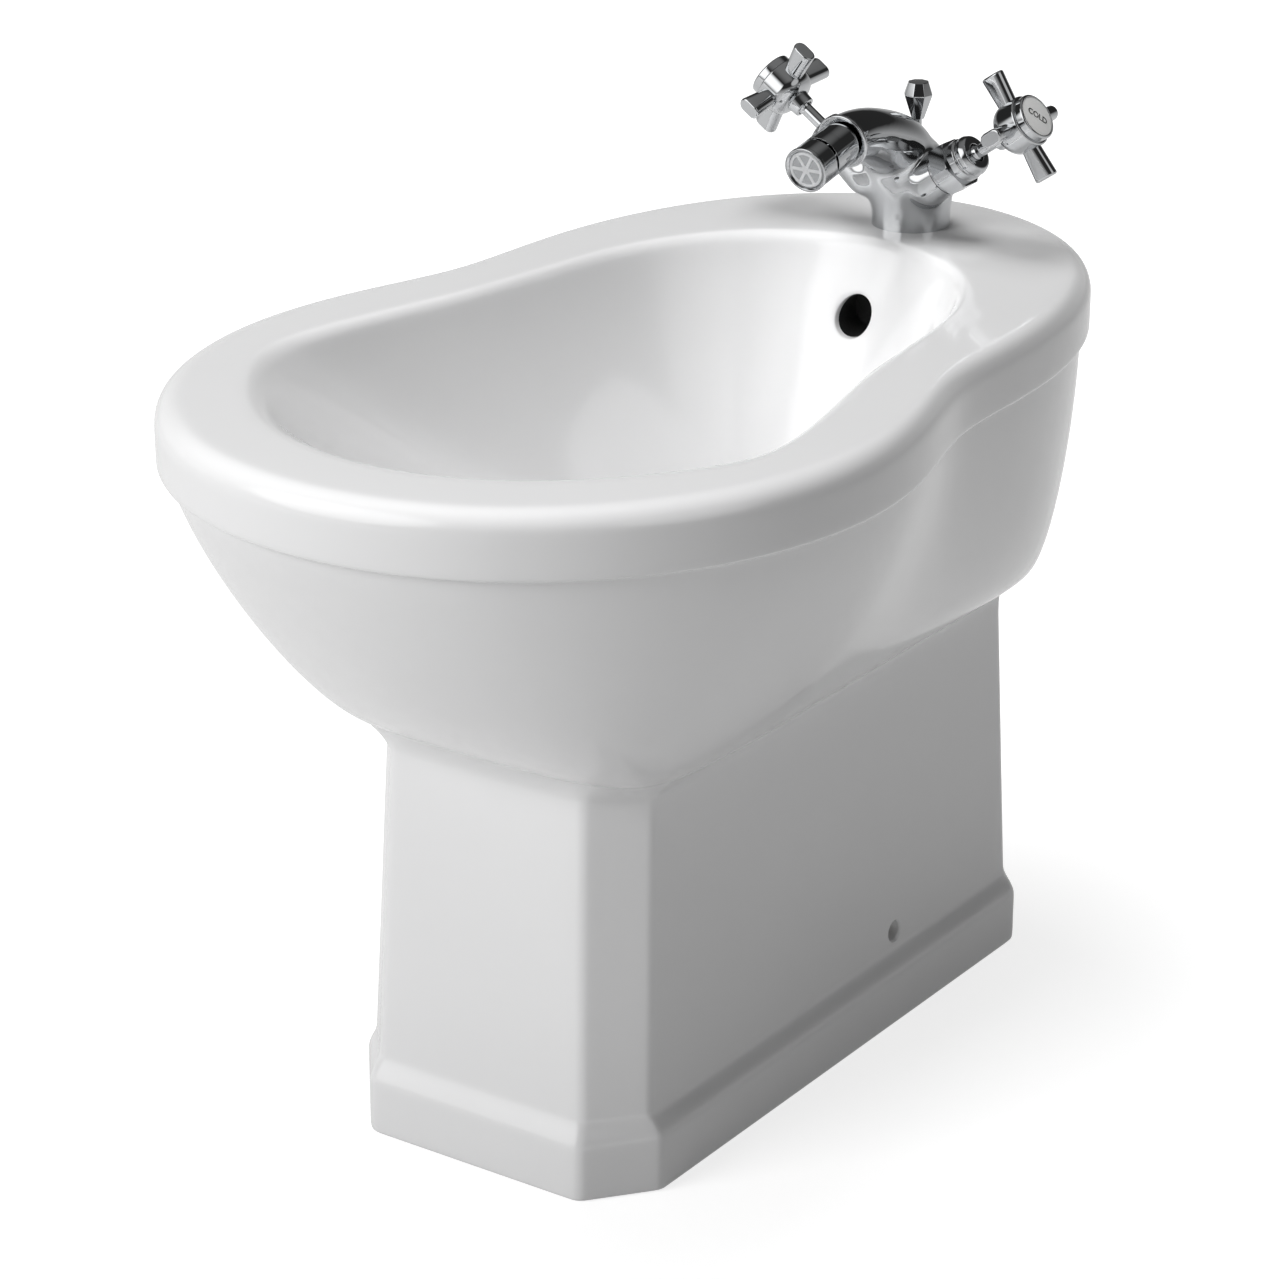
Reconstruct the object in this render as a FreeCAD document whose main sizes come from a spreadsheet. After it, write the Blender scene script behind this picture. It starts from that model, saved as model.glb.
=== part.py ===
import FreeCAD, Part
import math
import os
from types import SimpleNamespace

import Sketcher
from FreeCAD import Placement, Rotation, Vector

# Driving dimensions: lengths in millimetres, angles in degrees.
SIZES = {
    # ceramic pan: rim, bowl, pedestal and plinth
    "rim_length": 594.0,
    "rim_width": 373.0,
    "rim_height": 400.0,
    "rim_band": 33.0,
    "rim_round": 12.0,
    "rim_lip_round": 6.0,
    "band_lower_round": 3.0,
    "band_set_in": 5.0,
    "front_rim": 51.0,
    "opening_width": 284.0,
    "ledge_depth": 102.0,
    "ledge_thick": 14.0,
    "china_wall": 9.0,
    "neck_height": 224.0,
    "neck_width": 198.0,
    "neck_front_in": 130.0,
    "neck_back_in": 67.0,
    "stem_height": 208.0,
    "stem_width": 164.0,
    "stem_front_in": 138.5,
    "stem_back_in": 89.0,
    "stem_chamfer_wide": 23.5,
    "stem_chamfer_deep": 27.0,
    "cove_out": 7.0,
    "foot_height": 45.0,
    "foot_width": 173.0,
    "foot_front_in": 129.5,
    "foot_back_in": 81.0,
    "plinth_band": 28.0,
    "plinth_width": 186.0,
    "plinth_front_in": 123.5,
    "plinth_back_in": 79.0,
    "plinth_chamfer_wide": 27.5,
    "plinth_chamfer_deep": 34.0,
    "corner_round": 9.0,
    "floor_height": 256.0,
    "floor_radius": 34.0,
    "floor_thick": 26.0,
    "back_gate_width": 124.0,
    "back_gate_height": 250.0,
    "side_hole_radius": 5.5,
    "side_hole_from_back": 205.0,
    "side_hole_height": 51.5,
    "overflow_radius": 11.0,
    "overflow_drop": 39.0,
    "overflow_lead": 45.0,
    "overflow_trail": 1.0,
    "duct_radius": 6.0,
    "duct_wall": 6.0,
    "duct_top_lead": 8.0,
    "duct_foot_trail": 52.0,
    "duct_drop": 12.0,
    "overrun": 2.0,
    # fits
    "screwed_gap": 0.05,
    "running_gap": 0.05,
    "free_gap": 0.3,
    # tap body and its clamp
    "tap_from_back": 62.0,
    "tap_hole_radius": 17.5,
    "tap_base_radius": 21.8,
    "spout_reach": 73.0,
    "spout_rise": 61.0,
    "spout_droop": 12.0,
    "mouth_radius": 14.4,
    "mouth_recess_radius": 13.0,
    "mouth_recess_depth": 4.0,
    "mouth_thread_radius": 11.6,
    "mouth_thread_depth": 16.0,
    "waterway_radius": 5.0,
    "waterway_lead": 22.0,
    "base_seal_inner": 18.0,
    "base_seal_outer": 20.5,
    "base_seal_height": 1.5,
    "inlet_radius": 5.0,
    "inlet_depth": 14.0,
    "inlet_spread": 10.0,
    "inlet_way_radius": 2.5,
    "inlet_way_beyond": 8.0,
    "stud_radius": 4.0,
    "stud_forward": 12.5,
    "stud_in_tap": 9.0,
    "stud_below": 46.0,
    "clamp_radius": 26.0,
    "clamp_slot": 33.0,
    "clamp_slot_forward": 6.2,
    "clamp_rubber_thick": 3.0,
    "clamp_plate_thick": 3.0,
    "nut_across_corners": 15.0,
    "nut_thick": 6.5,
    # swivel nozzle
    "barrel_radius": 12.2,
    "housing_thread": 10.0,
    "housing_length": 22.0,
    "housing_land": 0.3,
    "housing_bore": 6.9,
    "nozzle_slit": 1.3,
    "shell_length": 13.4,
    "shell_lead": 4.0,
    "ball_radius": 7.5,
    "ball_neck_radius": 4.0,
    "ball_stem_length": 13.0,
    "ball_reach": 28.0,
    "ball_water_radius": 2.5,
    "shell_throat": 6.2,
    "shell_rim": 1.4,
    "shell_edge_round": 1.0,
    "seat_inner": 5.35,
    "seat_outer": 9.0,
    "seat_thick": 2.1,
    "insert_thick": 0.8,
    "insert_recess": 0.8,
    "insert_rim": 2.0,
    "insert_core": 2.5,
    "insert_spoke": 1.8,
    # valves and cross handles
    "valve_forward": 14.0,
    "valve_rise": 16.0,
    "valve_tilt": 35.0,
    "arm_root_radius": 15.5,
    "arm_end_radius": 13.8,
    "arm_reach": 34.0,
    "valve_bore": 9.6,
    "valve_floor": 14.0,
    "seal_thick": 2.0,
    "seal_inner": 4.0,
    "disc_radius": 8.0,
    "disc_thick": 3.0,
    "disc_port_radius": 2.2,
    "disc_port_off": 4.5,
    "disc_gap": 0.05,
    "skirt_bore": 8.3,
    "skirt_depth": 10.0,
    "bonnet_ring_radius": 13.2,
    "bonnet_ring_thick": 3.0,
    "bonnet_hex": 26.6,
    "bonnet_hex_thick": 13.0,
    "bonnet_collar_radius": 10.3,
    "bonnet_collar_thick": 9.0,
    "bonnet_collar_round": 3.0,
    "spindle_radius": 4.6,
    "spindle_head": 7.6,
    "spindle_head_thick": 3.0,
    "hub_start": 74.0,
    "hub_boss_radius": 6.2,
    "hub_boss_length": 6.0,
    "hub_radius": 14.3,
    "hub_length": 24.0,
    "hub_dome": 7.5,
    "hub_edge_round": 1.0,
    "hub_socket_depth": 16.0,
    "hub_web": 2.0,
    "hub_recess_radius": 10.4,
    "cross_height": 90.0,
    "cross_radius": 31.0,
    "blade_root_deep": 9.5,
    "blade_tip_deep": 13.4,
    "blade_thick": 6.8,
    "blade_end_round": 1.5,
    "blade_sunk": 2.0,
    "bezel_radius": 12.8,
    "bezel_thick": 5.0,
    "bezel_spigot_radius": 10.3,
    "bezel_spigot_wall": 2.0,
    "bezel_spigot_length": 3.0,
    "bezel_edge_round": 1.2,
    "index_radius": 11.3,
    "index_thick": 1.2,
    "screw_radius": 2.0,
    "screw_length": 10.0,
    "screw_head_radius": 4.0,
    "screw_head_thick": 2.5,
    "hot_turn_at_rest": -14.0,
    # pop-up waste: knob, rod, lever, waste and plug
    "rod_behind": 4.5,
    "rod_radius": 2.3,
    "knob_lift": 57.6,
    "knob_foot_radius": 3.6,
    "knob_wide_radius": 8.2,
    "knob_top_radius": 6.7,
    "knob_cone": 13.4,
    "knob_height": 20.4,
    "knob_socket": 10.0,
    "waste_lead": 125.0,
    "waste_hole_radius": 23.5,
    "flange_radius": 31.5,
    "flange_thick": 3.0,
    "flange_edge_round": 1.5,
    "flange_seal_inner": 24.5,
    "flange_seal_outer": 30.0,
    "flange_seal_thick": 1.2,
    "waste_tube_radius": 19.5,
    "waste_bore": 17.0,
    "waste_tube_length": 46.0,
    "slot_width": 6.0,
    "slot_height": 11.0,
    "seat_radius": 21.6,
    "seat_depth": 2.4,
    "washer_radius": 29.0,
    "washer_thick": 6.0,
    "body_collar_thick": 4.0,
    "body_radius": 24.0,
    "body_length": 46.0,
    "tail_radius": 20.95,
    "tail_length": 30.0,
    "lever_drop": 54.0,
    "lever_radius": 3.0,
    "lever_arm_in": 30.0,
    "lever_end_in": 5.0,
    "lever_end_out": 12.0,
    "plug_lift": 7.0,
    "port_radius": 10.5,
    "port_bore": 5.2,
    "port_pocket_lead": 6.0,
    "pivot_radius": 6.5,
    "port_end_trail": 4.5,
    "gasket_thick": 1.2,
    "gasket_inner": 4.9,
    "ball_nut_radius": 13.5,
    "ball_nut_skirt": 8.0,
    "ball_nut_wall": 3.0,
    "ball_nut_hole": 5.1,
    "rod_clamp_size": 13.0,
    "rod_clamp_above": 20.0,
    "rod_clamp_below": 8.0,
    "rod_clamp_hole": 4.3,
    "rod_socket": 10.0,
    "clamp_screw_radius": 2.5,
    "clamp_screw_head": 5.0,
    "clamp_screw_head_thick": 6.0,
    "plug_radius": 21.0,
    "plug_crown": 3.0,
    "plug_edge_round": 1.2,
    "plug_seal_thick": 1.5,
    "plug_seal_outer": 20.5,
    "plug_seal_inner": 14.0,
    "plug_stem_radius": 3.2,
    "plug_guide_radius": 16.4,
    "plug_guide_thick": 2.5,
    "plug_guide_drop": 24.0,
    "plug_guide_height": 8.0,
    "plug_eye_radius": 7.5,
    "plug_eye_hole": 4.3,
    "plug_eye_thick": 5.0,
}


class Size:
    """A size that carries its value together with the sheet expression it comes from."""

    def __init__(self, text, value):
        self.text = text
        self.value = value

    def _join(self, sign, other, value):
        return Size(f"({self.text} {sign} {as_size(other).text})", value)

    def __add__(self, other):
        return self._join("+", other, self.value + as_size(other).value)

    def __sub__(self, other):
        return self._join("-", other, self.value - as_size(other).value)

    def __mul__(self, other):
        return self._join("*", other, self.value * as_size(other).value)

    def __truediv__(self, other):
        return self._join("/", other, self.value / as_size(other).value)


def as_size(number):
    """A plain number as a size that no cell drives."""
    return number if isinstance(number, Size) else Size(repr(float(number)), float(number))


# The sheet, with one named cell for each driving dimension.
doc = FreeCAD.newDocument("bidet")
sheet = doc.addObject("Spreadsheet::Sheet", "Sizes")
for row, (alias, number) in enumerate(SIZES.items(), start=1):
    sheet.set(f"A{row}", alias)
    sheet.set(f"B{row}", str(number))
    sheet.setAlias(f"B{row}", alias)
doc.recompute()
bound = SimpleNamespace(**{alias: Size(f"Sizes.{alias}", float(sheet.get(alias))) for alias in SIZES})
plain = SimpleNamespace(**{alias: float(sheet.get(alias)) for alias in SIZES})
ZERO = as_size(0)
UP = Vector(0, 0, 1)
ACROSS = Vector(1, 0, 0)
BACK = Vector(0, 1, 0)
HERE = Placement()
pieces = {}


def keep(label, obj):
    """Name an object as a finished piece."""
    obj.Label = label
    pieces[label] = obj
    return obj


def at(x=0.0, y=0.0, z=0.0, turn=Rotation()):
    return Placement(Vector(x, y, z), turn)


def along(direction):
    """The rotation that lays a piece's own Z axis along a direction."""
    return Rotation(UP, direction)


def origin_plane(body, role):
    return next(plane for plane in body.Origin.OriginFeatures if plane.Role == role)


def bind_outline(sketch, points):
    """Draw a closed outline of straight lines, each corner held by sizes of the sheet."""
    corners = [Vector(across.value, along_it.value, 0) for across, along_it in points]
    for index, corner in enumerate(corners):
        sketch.addGeometry(Part.LineSegment(corner, corners[(index + 1) % len(corners)]))
    for index, (across, along_it) in enumerate(points):
        following = (index + 1) % len(points)
        sketch.addConstraint(Sketcher.Constraint("Coincident", index, 2, following, 1))
        for kind, axis, span in (("DistanceX", -2, across), ("DistanceY", -1, along_it)):
            if span.value == 0:
                sketch.addConstraint(Sketcher.Constraint("PointOnObject", index, 1, axis))
            else:
                held = sketch.addConstraint(Sketcher.Constraint(kind, -1, 1, index, 1, span.value))
                sketch.setExpression(f"Constraints[{held}]", span.text)


def turned(name, profile, place=HERE):
    """A body of revolution about its own Z axis, from a closed outline of (radius, height)."""
    body = doc.addObject("PartDesign::Body", name)
    sketch = body.newObject("Sketcher::SketchObject", name + "_profile")
    sketch.AttachmentSupport = [(origin_plane(body, "XZ_Plane"), "")]
    sketch.MapMode = "FlatFace"
    bind_outline(sketch, profile)
    turn = body.newObject("PartDesign::Revolution", name + "_turn")
    turn.Profile = sketch
    turn.ReferenceAxis = (sketch, ["V_Axis"])
    turn.Angle = 360
    body.Placement = place
    return body


def ring(name, inner, outer, low, high, place=HERE):
    return turned(name, [(inner, low), (outer, low), (outer, high), (inner, high)], place)


def rounded(body, radius, height, fillet):
    """Round the circular edge of a turned body that lies at this radius and height."""
    doc.recompute()
    feature = body.Tip
    names = []
    for index, edge in enumerate(feature.Shape.Edges, start=1):
        circle = edge.Curve
        if not isinstance(circle, Part.Circle):
            continue
        if math.isclose(circle.Radius, radius.value, rel_tol=1e-6) and math.isclose(
                circle.Center.z, height.value, rel_tol=1e-6, abs_tol=1e-6):
            names.append(f"Edge{index}")
    edge_round = body.newObject("PartDesign::Fillet", f"{body.Name}_round")
    edge_round.Base = (feature, names)
    edge_round.setExpression("Radius", fillet.text)
    body.Tip = edge_round
    return body


def drill(name, radius, height, place):
    cylinder = doc.addObject("Part::Cylinder", name)
    cylinder.setExpression("Radius", radius.text)
    cylinder.setExpression("Height", height.text)
    cylinder.Placement = place
    return cylinder


def block(name, wide, deep, high, place):
    box = doc.addObject("Part::Box", name)
    box.setExpression("Length", wide.text)
    box.setExpression("Width", deep.text)
    box.setExpression("Height", high.text)
    box.Placement = place
    return box


def hexagon(name, across_corners, height, place):
    prism = doc.addObject("Part::Prism", name)
    prism.Polygon = 6
    prism.setExpression("Circumradius", (across_corners / 2).text)
    prism.setExpression("Height", height.text)
    prism.Placement = place
    return prism


def sphere(name, radius, place):
    ball = doc.addObject("Part::Sphere", name)
    ball.setExpression("Radius", radius.text)
    ball.Placement = place
    return ball


def joined(name, *objects):
    fusion = doc.addObject("Part::MultiFuse", name)
    fusion.Shapes = list(objects)
    return fusion


def cut(name, base, *tools):
    removal = doc.addObject("Part::Cut", name)
    removal.Base = base
    removal.Tool = tools[0] if len(tools) == 1 else joined(name + "_tools", *tools)
    return removal


def sculpted(name, shape, place=HERE):
    feature = doc.addObject("Part::Feature", name)
    feature.Shape = shape
    feature.Placement = place
    return feature


# Ceramic pan: one hollow vitreous china casting, with its front towards -Y and its ledge towards +Y.
# The rim and the bowl opening are waisted, so each outline is a smooth closed curve through points on
# one side, from the middle of the back to the middle of the front, given as shares of its half sizes.
RIM_SHARES = [(0, 1), (0.506, 0.857), (0.769, 0.561), (0.834, 0.287), (0.857, 0.08), (0.946, -0.12),
              (1, -0.378), (0.873, -0.668), (0.518, -0.908), (0, -1)]
OPENING_SHARES = [(0, 1), (0.446, 0.887), (0.694, 0.63), (0.7725, 0.384), (0.815, 0.189), (0.873, -0.003),
                  (0.997, -0.357), (0.922, -0.611), (0.553, -0.883), (0, -1)]
NECK_SHARES = [(0, 1), (0.72, 0.985), (0.965, 0.86), (1, 0.6), (1, 0.29), (1, -0.29),
               (1, -0.6), (0.965, -0.845), (0.7, -0.975), (0, -1)]
DRAIN_ANGLES = [0, 25, 50, 72, 90, 105, 125, 145, 163, 180]
LOFT_ANGLES = [0, 15, 30, 45, 60, 75, 90]
BOWL_ROUNDNESS_SHARES = (1.2, 1.73)
BASIN_ROUNDNESS_SHARES = (1.15, 1.15)


def waisted(shares, half_width, front, back):
    """Points of one side of an outline, from its shares of half the width and of the length."""
    middle = (back - front) / 2
    half_length = (back + front) / 2
    return [Vector(x * half_width, middle + y * half_length, 0) for x, y in shares]


def closed_curve(side):
    """A smooth closed wire through one side's points and their mirror images."""
    other = [Vector(-p.x, p.y, p.z) for p in side[-2:0:-1]]
    curve = Part.BSplineCurve()
    curve.interpolate(Points=side + other, PeriodicFlag=True,
                      Parameters=[float(knot) for knot in range(len(side + other) + 1)])
    return Part.Wire(curve.toShape())


def prism(side, low, high):
    base = closed_curve([Vector(p.x, p.y, low) for p in side])
    return Part.Face(base).extrude(Vector(0, 0, high - low))


def dished(top, bottom, high, low, roundness):
    """A solid that narrows from a top outline to a bottom one, as round as said in front and at the back."""
    front, back = roundness
    wires = []
    for angle in LOFT_ANGLES:
        drop = math.sin(math.radians(angle)) ** (2 / front)
        ring = []
        for a, b in zip(top, bottom):
            power = back + (front - back) * (top[0].y - a.y) / (top[0].y - top[-1].y)
            draw_in = 1 - max(1 - drop ** power, 0) ** (1 / power)
            ring.append(Vector(a.x + draw_in * (b.x - a.x), a.y + draw_in * (b.y - a.y),
                               high - drop * (high - low)))
        wires.append(closed_curve(ring))
    return Part.makeLoft(wires, True, False)


def chamfered_wire(half_width, front, back, chamfer_wide, chamfer_deep, corner, height):
    """A six-cornered pedestal outline, chamfered at the front, with every corner rounded."""
    corners = [Vector(half_width, back, height), Vector(half_width, chamfer_deep - front, height),
               Vector(half_width - chamfer_wide, -front, height),
               Vector(chamfer_wide - half_width, -front, height),
               Vector(-half_width, chamfer_deep - front, height), Vector(-half_width, back, height)]
    edges = []
    starts = []
    for index, point in enumerate(corners):
        before = (corners[index - 1] - point).normalize()
        after = (corners[(index + 1) % len(corners)] - point).normalize()
        half_angle = before.getAngle(after) / 2
        reach = corner / math.tan(half_angle)
        middle = (before + after).normalize() * (corner / math.sin(half_angle) - corner)
        starts.append((point + before * reach, point + middle, point + after * reach))
    for index, (enter, middle, leave) in enumerate(starts):
        edges.append(Part.Arc(enter, middle, leave).toShape())
        edges.append(Part.LineSegment(leave, starts[(index + 1) % len(starts)][0]).toShape())
    return Part.Wire(edges)


def pedestal(inset, low):
    """The plinth, its ogee, the tapering pedestal and the cove under the bowl, drawn in by an inset."""
    plinth = (plain.plinth_width / 2, rim_half - plain.plinth_front_in, rim_half - plain.plinth_back_in,
              plain.plinth_chamfer_wide, plain.plinth_chamfer_deep)
    foot = (plain.foot_width / 2, rim_half - plain.foot_front_in, rim_half - plain.foot_back_in,
            plain.stem_chamfer_wide, plain.stem_chamfer_deep)
    stem = (plain.stem_width / 2, rim_half - plain.stem_front_in, rim_half - plain.stem_back_in,
            plain.stem_chamfer_wide, plain.stem_chamfer_deep)
    levels = [(plinth, 0, low), (plinth, 0, plain.plinth_band)]
    for angle in LOFT_ANGLES[1:]:
        turn = math.radians(angle) * 2
        share = (1 - math.cos(turn)) / 2
        climb = plain.plinth_band + (plain.foot_height - plain.plinth_band) * angle / LOFT_ANGLES[-1]
        levels.append((tuple(a + share * (b - a) for a, b in zip(plinth, foot)), 0, climb))
    levels.append((stem, 0, plain.stem_height))
    for angle in LOFT_ANGLES[1:]:
        turn = math.radians(angle)
        climb = plain.stem_height + (plain.neck_height - plain.stem_height) * math.sin(turn)
        levels.append((stem, plain.cove_out * (1 - math.cos(turn)), climb))
    levels.append((stem, plain.cove_out, plain.neck_height + plain.floor_thick))
    wires = []
    for (half_width, front, back, wide, deep), out, height in levels:
        grow = out - inset
        wires.append(chamfered_wire(half_width + grow, front + grow, back + grow, wide, deep,
                                    plain.corner_round, height))
    return Part.makeLoft(wires, True, True)


def straight_tube(radius, start, end):
    return Part.makeCylinder(radius, (end - start).Length, start, end - start)


rim_half = plain.rim_length / 2
opening_front = rim_half - plain.front_rim
opening_back = rim_half - plain.ledge_depth
waste_back = opening_back - plain.waste_lead
tap_back = rim_half - plain.tap_from_back
band_foot = plain.rim_height - plain.rim_band
overflow_height = plain.rim_height - plain.overflow_drop
duct_foot_height = plain.floor_height - plain.duct_drop


def rim_inset(inset):
    return waisted(RIM_SHARES, plain.rim_width / 2 - inset, rim_half - inset, rim_half - inset)


def neck_inset(inset):
    return waisted(NECK_SHARES, plain.neck_width / 2 - inset, rim_half - plain.neck_front_in - inset,
                   rim_half - plain.neck_back_in - inset)


def basin(grow, deepen):
    """The hollow of the bowl, or with a growth the china round it."""
    top = waisted(OPENING_SHARES, plain.opening_width / 2 + grow, opening_front + grow, opening_back + grow)
    drain = plain.floor_radius + deepen
    floor = [Vector(drain * math.sin(math.radians(angle)),
                    waste_back + drain * math.cos(math.radians(angle)), 0) for angle in DRAIN_ANGLES]
    return dished(top, floor, plain.rim_height, plain.floor_height - deepen, BASIN_ROUNDNESS_SHARES)


def edges_round(solid, height, reach):
    """The level edges at this height that come this far back."""
    found = []
    for edge in solid.Edges:
        box = edge.BoundBox
        level = math.isclose(box.ZMin, height, abs_tol=1e-3) and math.isclose(box.ZMax, height, abs_tol=1e-3)
        if level and abs(box.YMax - reach) < plain.overrun:
            found.append(edge)
    return found


def rim_block():
    """The band of the rim, rounded along its upper and lower edges."""
    band = prism(rim_inset(0), band_foot, plain.rim_height)
    band = band.makeFillet(plain.rim_round, edges_round(band, plain.rim_height, rim_half))
    return band.makeFillet(plain.band_lower_round, edges_round(band, band_foot, rim_half))


bowl_outside = dished(rim_inset(plain.band_set_in), neck_inset(0), band_foot, plain.neck_height,
                      BOWL_ROUNDNESS_SHARES)
hollow_set = plain.band_set_in + plain.china_wall
bowl_inside = dished(rim_inset(hollow_set), neck_inset(plain.china_wall), band_foot,
                     plain.neck_height + plain.china_wall, BOWL_ROUNDNESS_SHARES)
hollow_top = prism(rim_inset(hollow_set), band_foot, plain.rim_height - plain.ledge_thick)
duct_top = Vector(0, opening_back - plain.duct_top_lead, overflow_height)
duct_foot = Vector(0, waste_back + plain.duct_foot_trail, duct_foot_height)
duct_end = Vector(0, waste_back, duct_foot_height)
overflow_start = Vector(0, opening_back - plain.overflow_lead, overflow_height)
overflow_stop = Vector(0, opening_back + plain.overflow_trail, overflow_height)
outer_duct = plain.duct_radius + plain.duct_wall
duct_body = straight_tube(outer_duct, duct_top, duct_foot).fuse([
    Part.makeSphere(outer_duct, duct_foot), straight_tube(outer_duct, duct_foot, duct_end),
    straight_tube(plain.overflow_radius + plain.duct_wall, overflow_start,
                  overflow_stop + BACK * plain.duct_wall)])
duct_hollow = straight_tube(plain.duct_radius, duct_top, duct_foot).fuse([
    Part.makeSphere(plain.duct_radius, duct_foot), straight_tube(plain.duct_radius, duct_foot, duct_end),
    straight_tube(plain.overflow_radius, overflow_start, overflow_stop)])
hollow = bowl_inside.fuse([hollow_top, pedestal(plain.china_wall, -plain.overrun)])
hollow = hollow.cut(basin(plain.china_wall, plain.floor_thick)).cut(duct_body)
china = rim_block().fuse([bowl_outside, pedestal(0, 0)]).cut(basin(0, 0))
china = china.makeFillet(plain.rim_lip_round, edges_round(china, plain.rim_height, opening_back))
china = china.cut(hollow).cut(duct_hollow)
tap_hole = drill("tap_hole", bound.tap_hole_radius, bound.ledge_thick + bound.overrun * 2,
                 at(0, tap_back, plain.rim_height - plain.ledge_thick - plain.overrun))
waste_hole = drill("waste_hole", bound.waste_hole_radius, bound.floor_thick + bound.overrun * 2,
                   at(0, waste_back, plain.floor_height - plain.floor_thick - plain.overrun))
side_holes = drill("side_holes", bound.side_hole_radius, bound.rim_width,
                   at(-plain.rim_width / 2, rim_half - plain.side_hole_from_back, plain.side_hole_height,
                      along(ACROSS)))
gate = block("back_gate", bound.back_gate_width, bound.ledge_depth, bound.back_gate_height + bound.overrun,
             at(-plain.back_gate_width / 2, opening_back, -plain.overrun))
gate_arch = drill("back_gate_arch", bound.back_gate_width / 2, bound.ledge_depth,
                  at(0, opening_back, plain.back_gate_height, along(BACK)))
keep("ceramic_pan", cut("pan", sculpted("china", china), tap_hole, waste_hole, side_holes, gate, gate_arch))

# Tap body: a brass casting whose round column leans forward and narrows into the spout, with a cone
# on each side for the valves. Rows: shares of the reach, the rise, the narrowing and the lean.
SPOUT_SHARES = [(0, 0, 0, 0), (0, 0.2, 0.12, 0), (0.08, 0.5, 0.17, 0.245), (0.24, 0.775, 0.31, 0.49),
                (0.575, 0.95, 0.58, 0.706), (0.82, 1.015, 0.8, 0.882), (1, 1, 1, 1)]
tap_foot = Vector(0, tap_back, plain.rim_height)
mouth_lean = 90 + plain.spout_droop


def spout_point(row):
    reach, rise = SPOUT_SHARES[row][:2]
    return tap_foot + Vector(0, -reach * plain.spout_reach, rise * plain.spout_rise)


def spout_wire(row):
    narrowing, lean = SPOUT_SHARES[row][2:]
    radius = plain.tap_base_radius + narrowing * (plain.mouth_radius - plain.tap_base_radius)
    circle = Part.Wire(Part.makeCircle(radius))
    circle.Placement = Placement(spout_point(row), Rotation(ACROSS, lean * mouth_lean))
    return circle


def mouth_place(distance):
    """A place on the nozzle's axis, this far out from the spout's mouth."""
    turn = Rotation(ACROSS, mouth_lean)
    return Placement(spout_point(-1) + turn.multVec(UP) * distance, turn)


def valve_place(side, distance, spin=0.0):
    """A place on a valve's axis, this far out from where the two axes meet."""
    turn = Rotation(BACK, side * (90 - plain.valve_tilt))
    start = tap_foot + Vector(0, -plain.valve_forward, plain.valve_rise)
    return Placement(start + turn.multVec(UP) * distance, turn * Rotation(UP, spin))


spout_wires = [spout_wire(row) for row in range(len(SPOUT_SHARES))]
column = sculpted("spout_column", Part.makeLoft(spout_wires, True, False))
valve_start = valve_place(1, 0).Base
bend = spout_point(len(SPOUT_SHARES) // 2)
lead = mouth_place(-plain.waterway_lead).Base
mixing_way = straight_tube(plain.waterway_radius, lead, bend).fuse([
    Part.makeSphere(plain.waterway_radius, bend), straight_tube(plain.waterway_radius, bend, valve_start)])
arms = []
ways = [sculpted("mixing_way", mixing_way)]
for side, name in ((-1, "hot"), (1, "cold")):
    arm = doc.addObject("Part::Cone", name + "_valve_arm")
    arm.setExpression("Radius1", bound.arm_root_radius.text)
    arm.setExpression("Radius2", bound.arm_end_radius.text)
    arm.setExpression("Height", bound.arm_reach.text)
    arm.Placement = valve_place(side, 0)
    arms.append(arm)
    ways.append(drill(name + "_valve_bore", bound.valve_bore, bound.arm_reach,
                      valve_place(side, plain.valve_floor)))
    ways.append(drill(name + "_cross_way", bound.waterway_radius, bound.valve_floor + bound.overrun,
                      valve_place(side, 0)))
    inlet = tap_foot + ACROSS * (side * plain.inlet_spread)
    ways.append(drill(name + "_inlet", bound.inlet_radius, bound.inlet_depth, Placement(inlet, Rotation())))
    valve_port = valve_place(side, plain.valve_floor + plain.inlet_way_beyond).Base
    inlet_way = straight_tube(plain.inlet_way_radius, inlet + UP * (plain.inlet_depth / 2), valve_port)
    ways.append(sculpted(name + "_inlet_way", inlet_way))
ways.append(drill("mouth_recess", bound.mouth_recess_radius, bound.mouth_recess_depth + bound.overrun,
                  mouth_place(-plain.mouth_recess_depth)))
ways.append(drill("mouth_thread", bound.mouth_thread_radius, bound.mouth_thread_depth,
                  mouth_place(-plain.mouth_thread_depth)))
ways.append(drill("mouth_lead", bound.waterway_radius, bound.waterway_lead,
                  mouth_place(-plain.waterway_lead)))
stud_foot = tap_foot + Vector(0, -plain.stud_forward, 0)
ways.append(drill("stud_hole", bound.stud_radius + bound.screwed_gap, bound.stud_in_tap,
                  Placement(stud_foot, Rotation())))
rod_back = tap_back + plain.rod_behind
ways.append(drill("rod_hole", bound.rod_radius + bound.running_gap, bound.spout_rise * 2,
                  at(0, rod_back, plain.rim_height)))
ways.append(ring("seal_groove", bound.base_seal_inner, bound.base_seal_outer, ZERO, bound.base_seal_height,
                 Placement(tap_foot, Rotation())))
keep("tap_body", cut("tap", joined("tap_casting", column, *arms), *ways))

# Base seal: a rubber ring in the groove under the tap.
keep("tap_base_seal", ring("base_seal", bound.base_seal_inner, bound.base_seal_outer, ZERO,
                           bound.base_seal_height, Placement(tap_foot, Rotation())))

# Clamp under the ledge: a stud in the tap, a rubber and a steel horseshoe, and a nut.
keep("fixing_stud", drill("stud", bound.stud_radius, bound.stud_in_tap + bound.stud_below,
                          Placement(stud_foot - UP * plain.stud_below, Rotation())))


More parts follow.
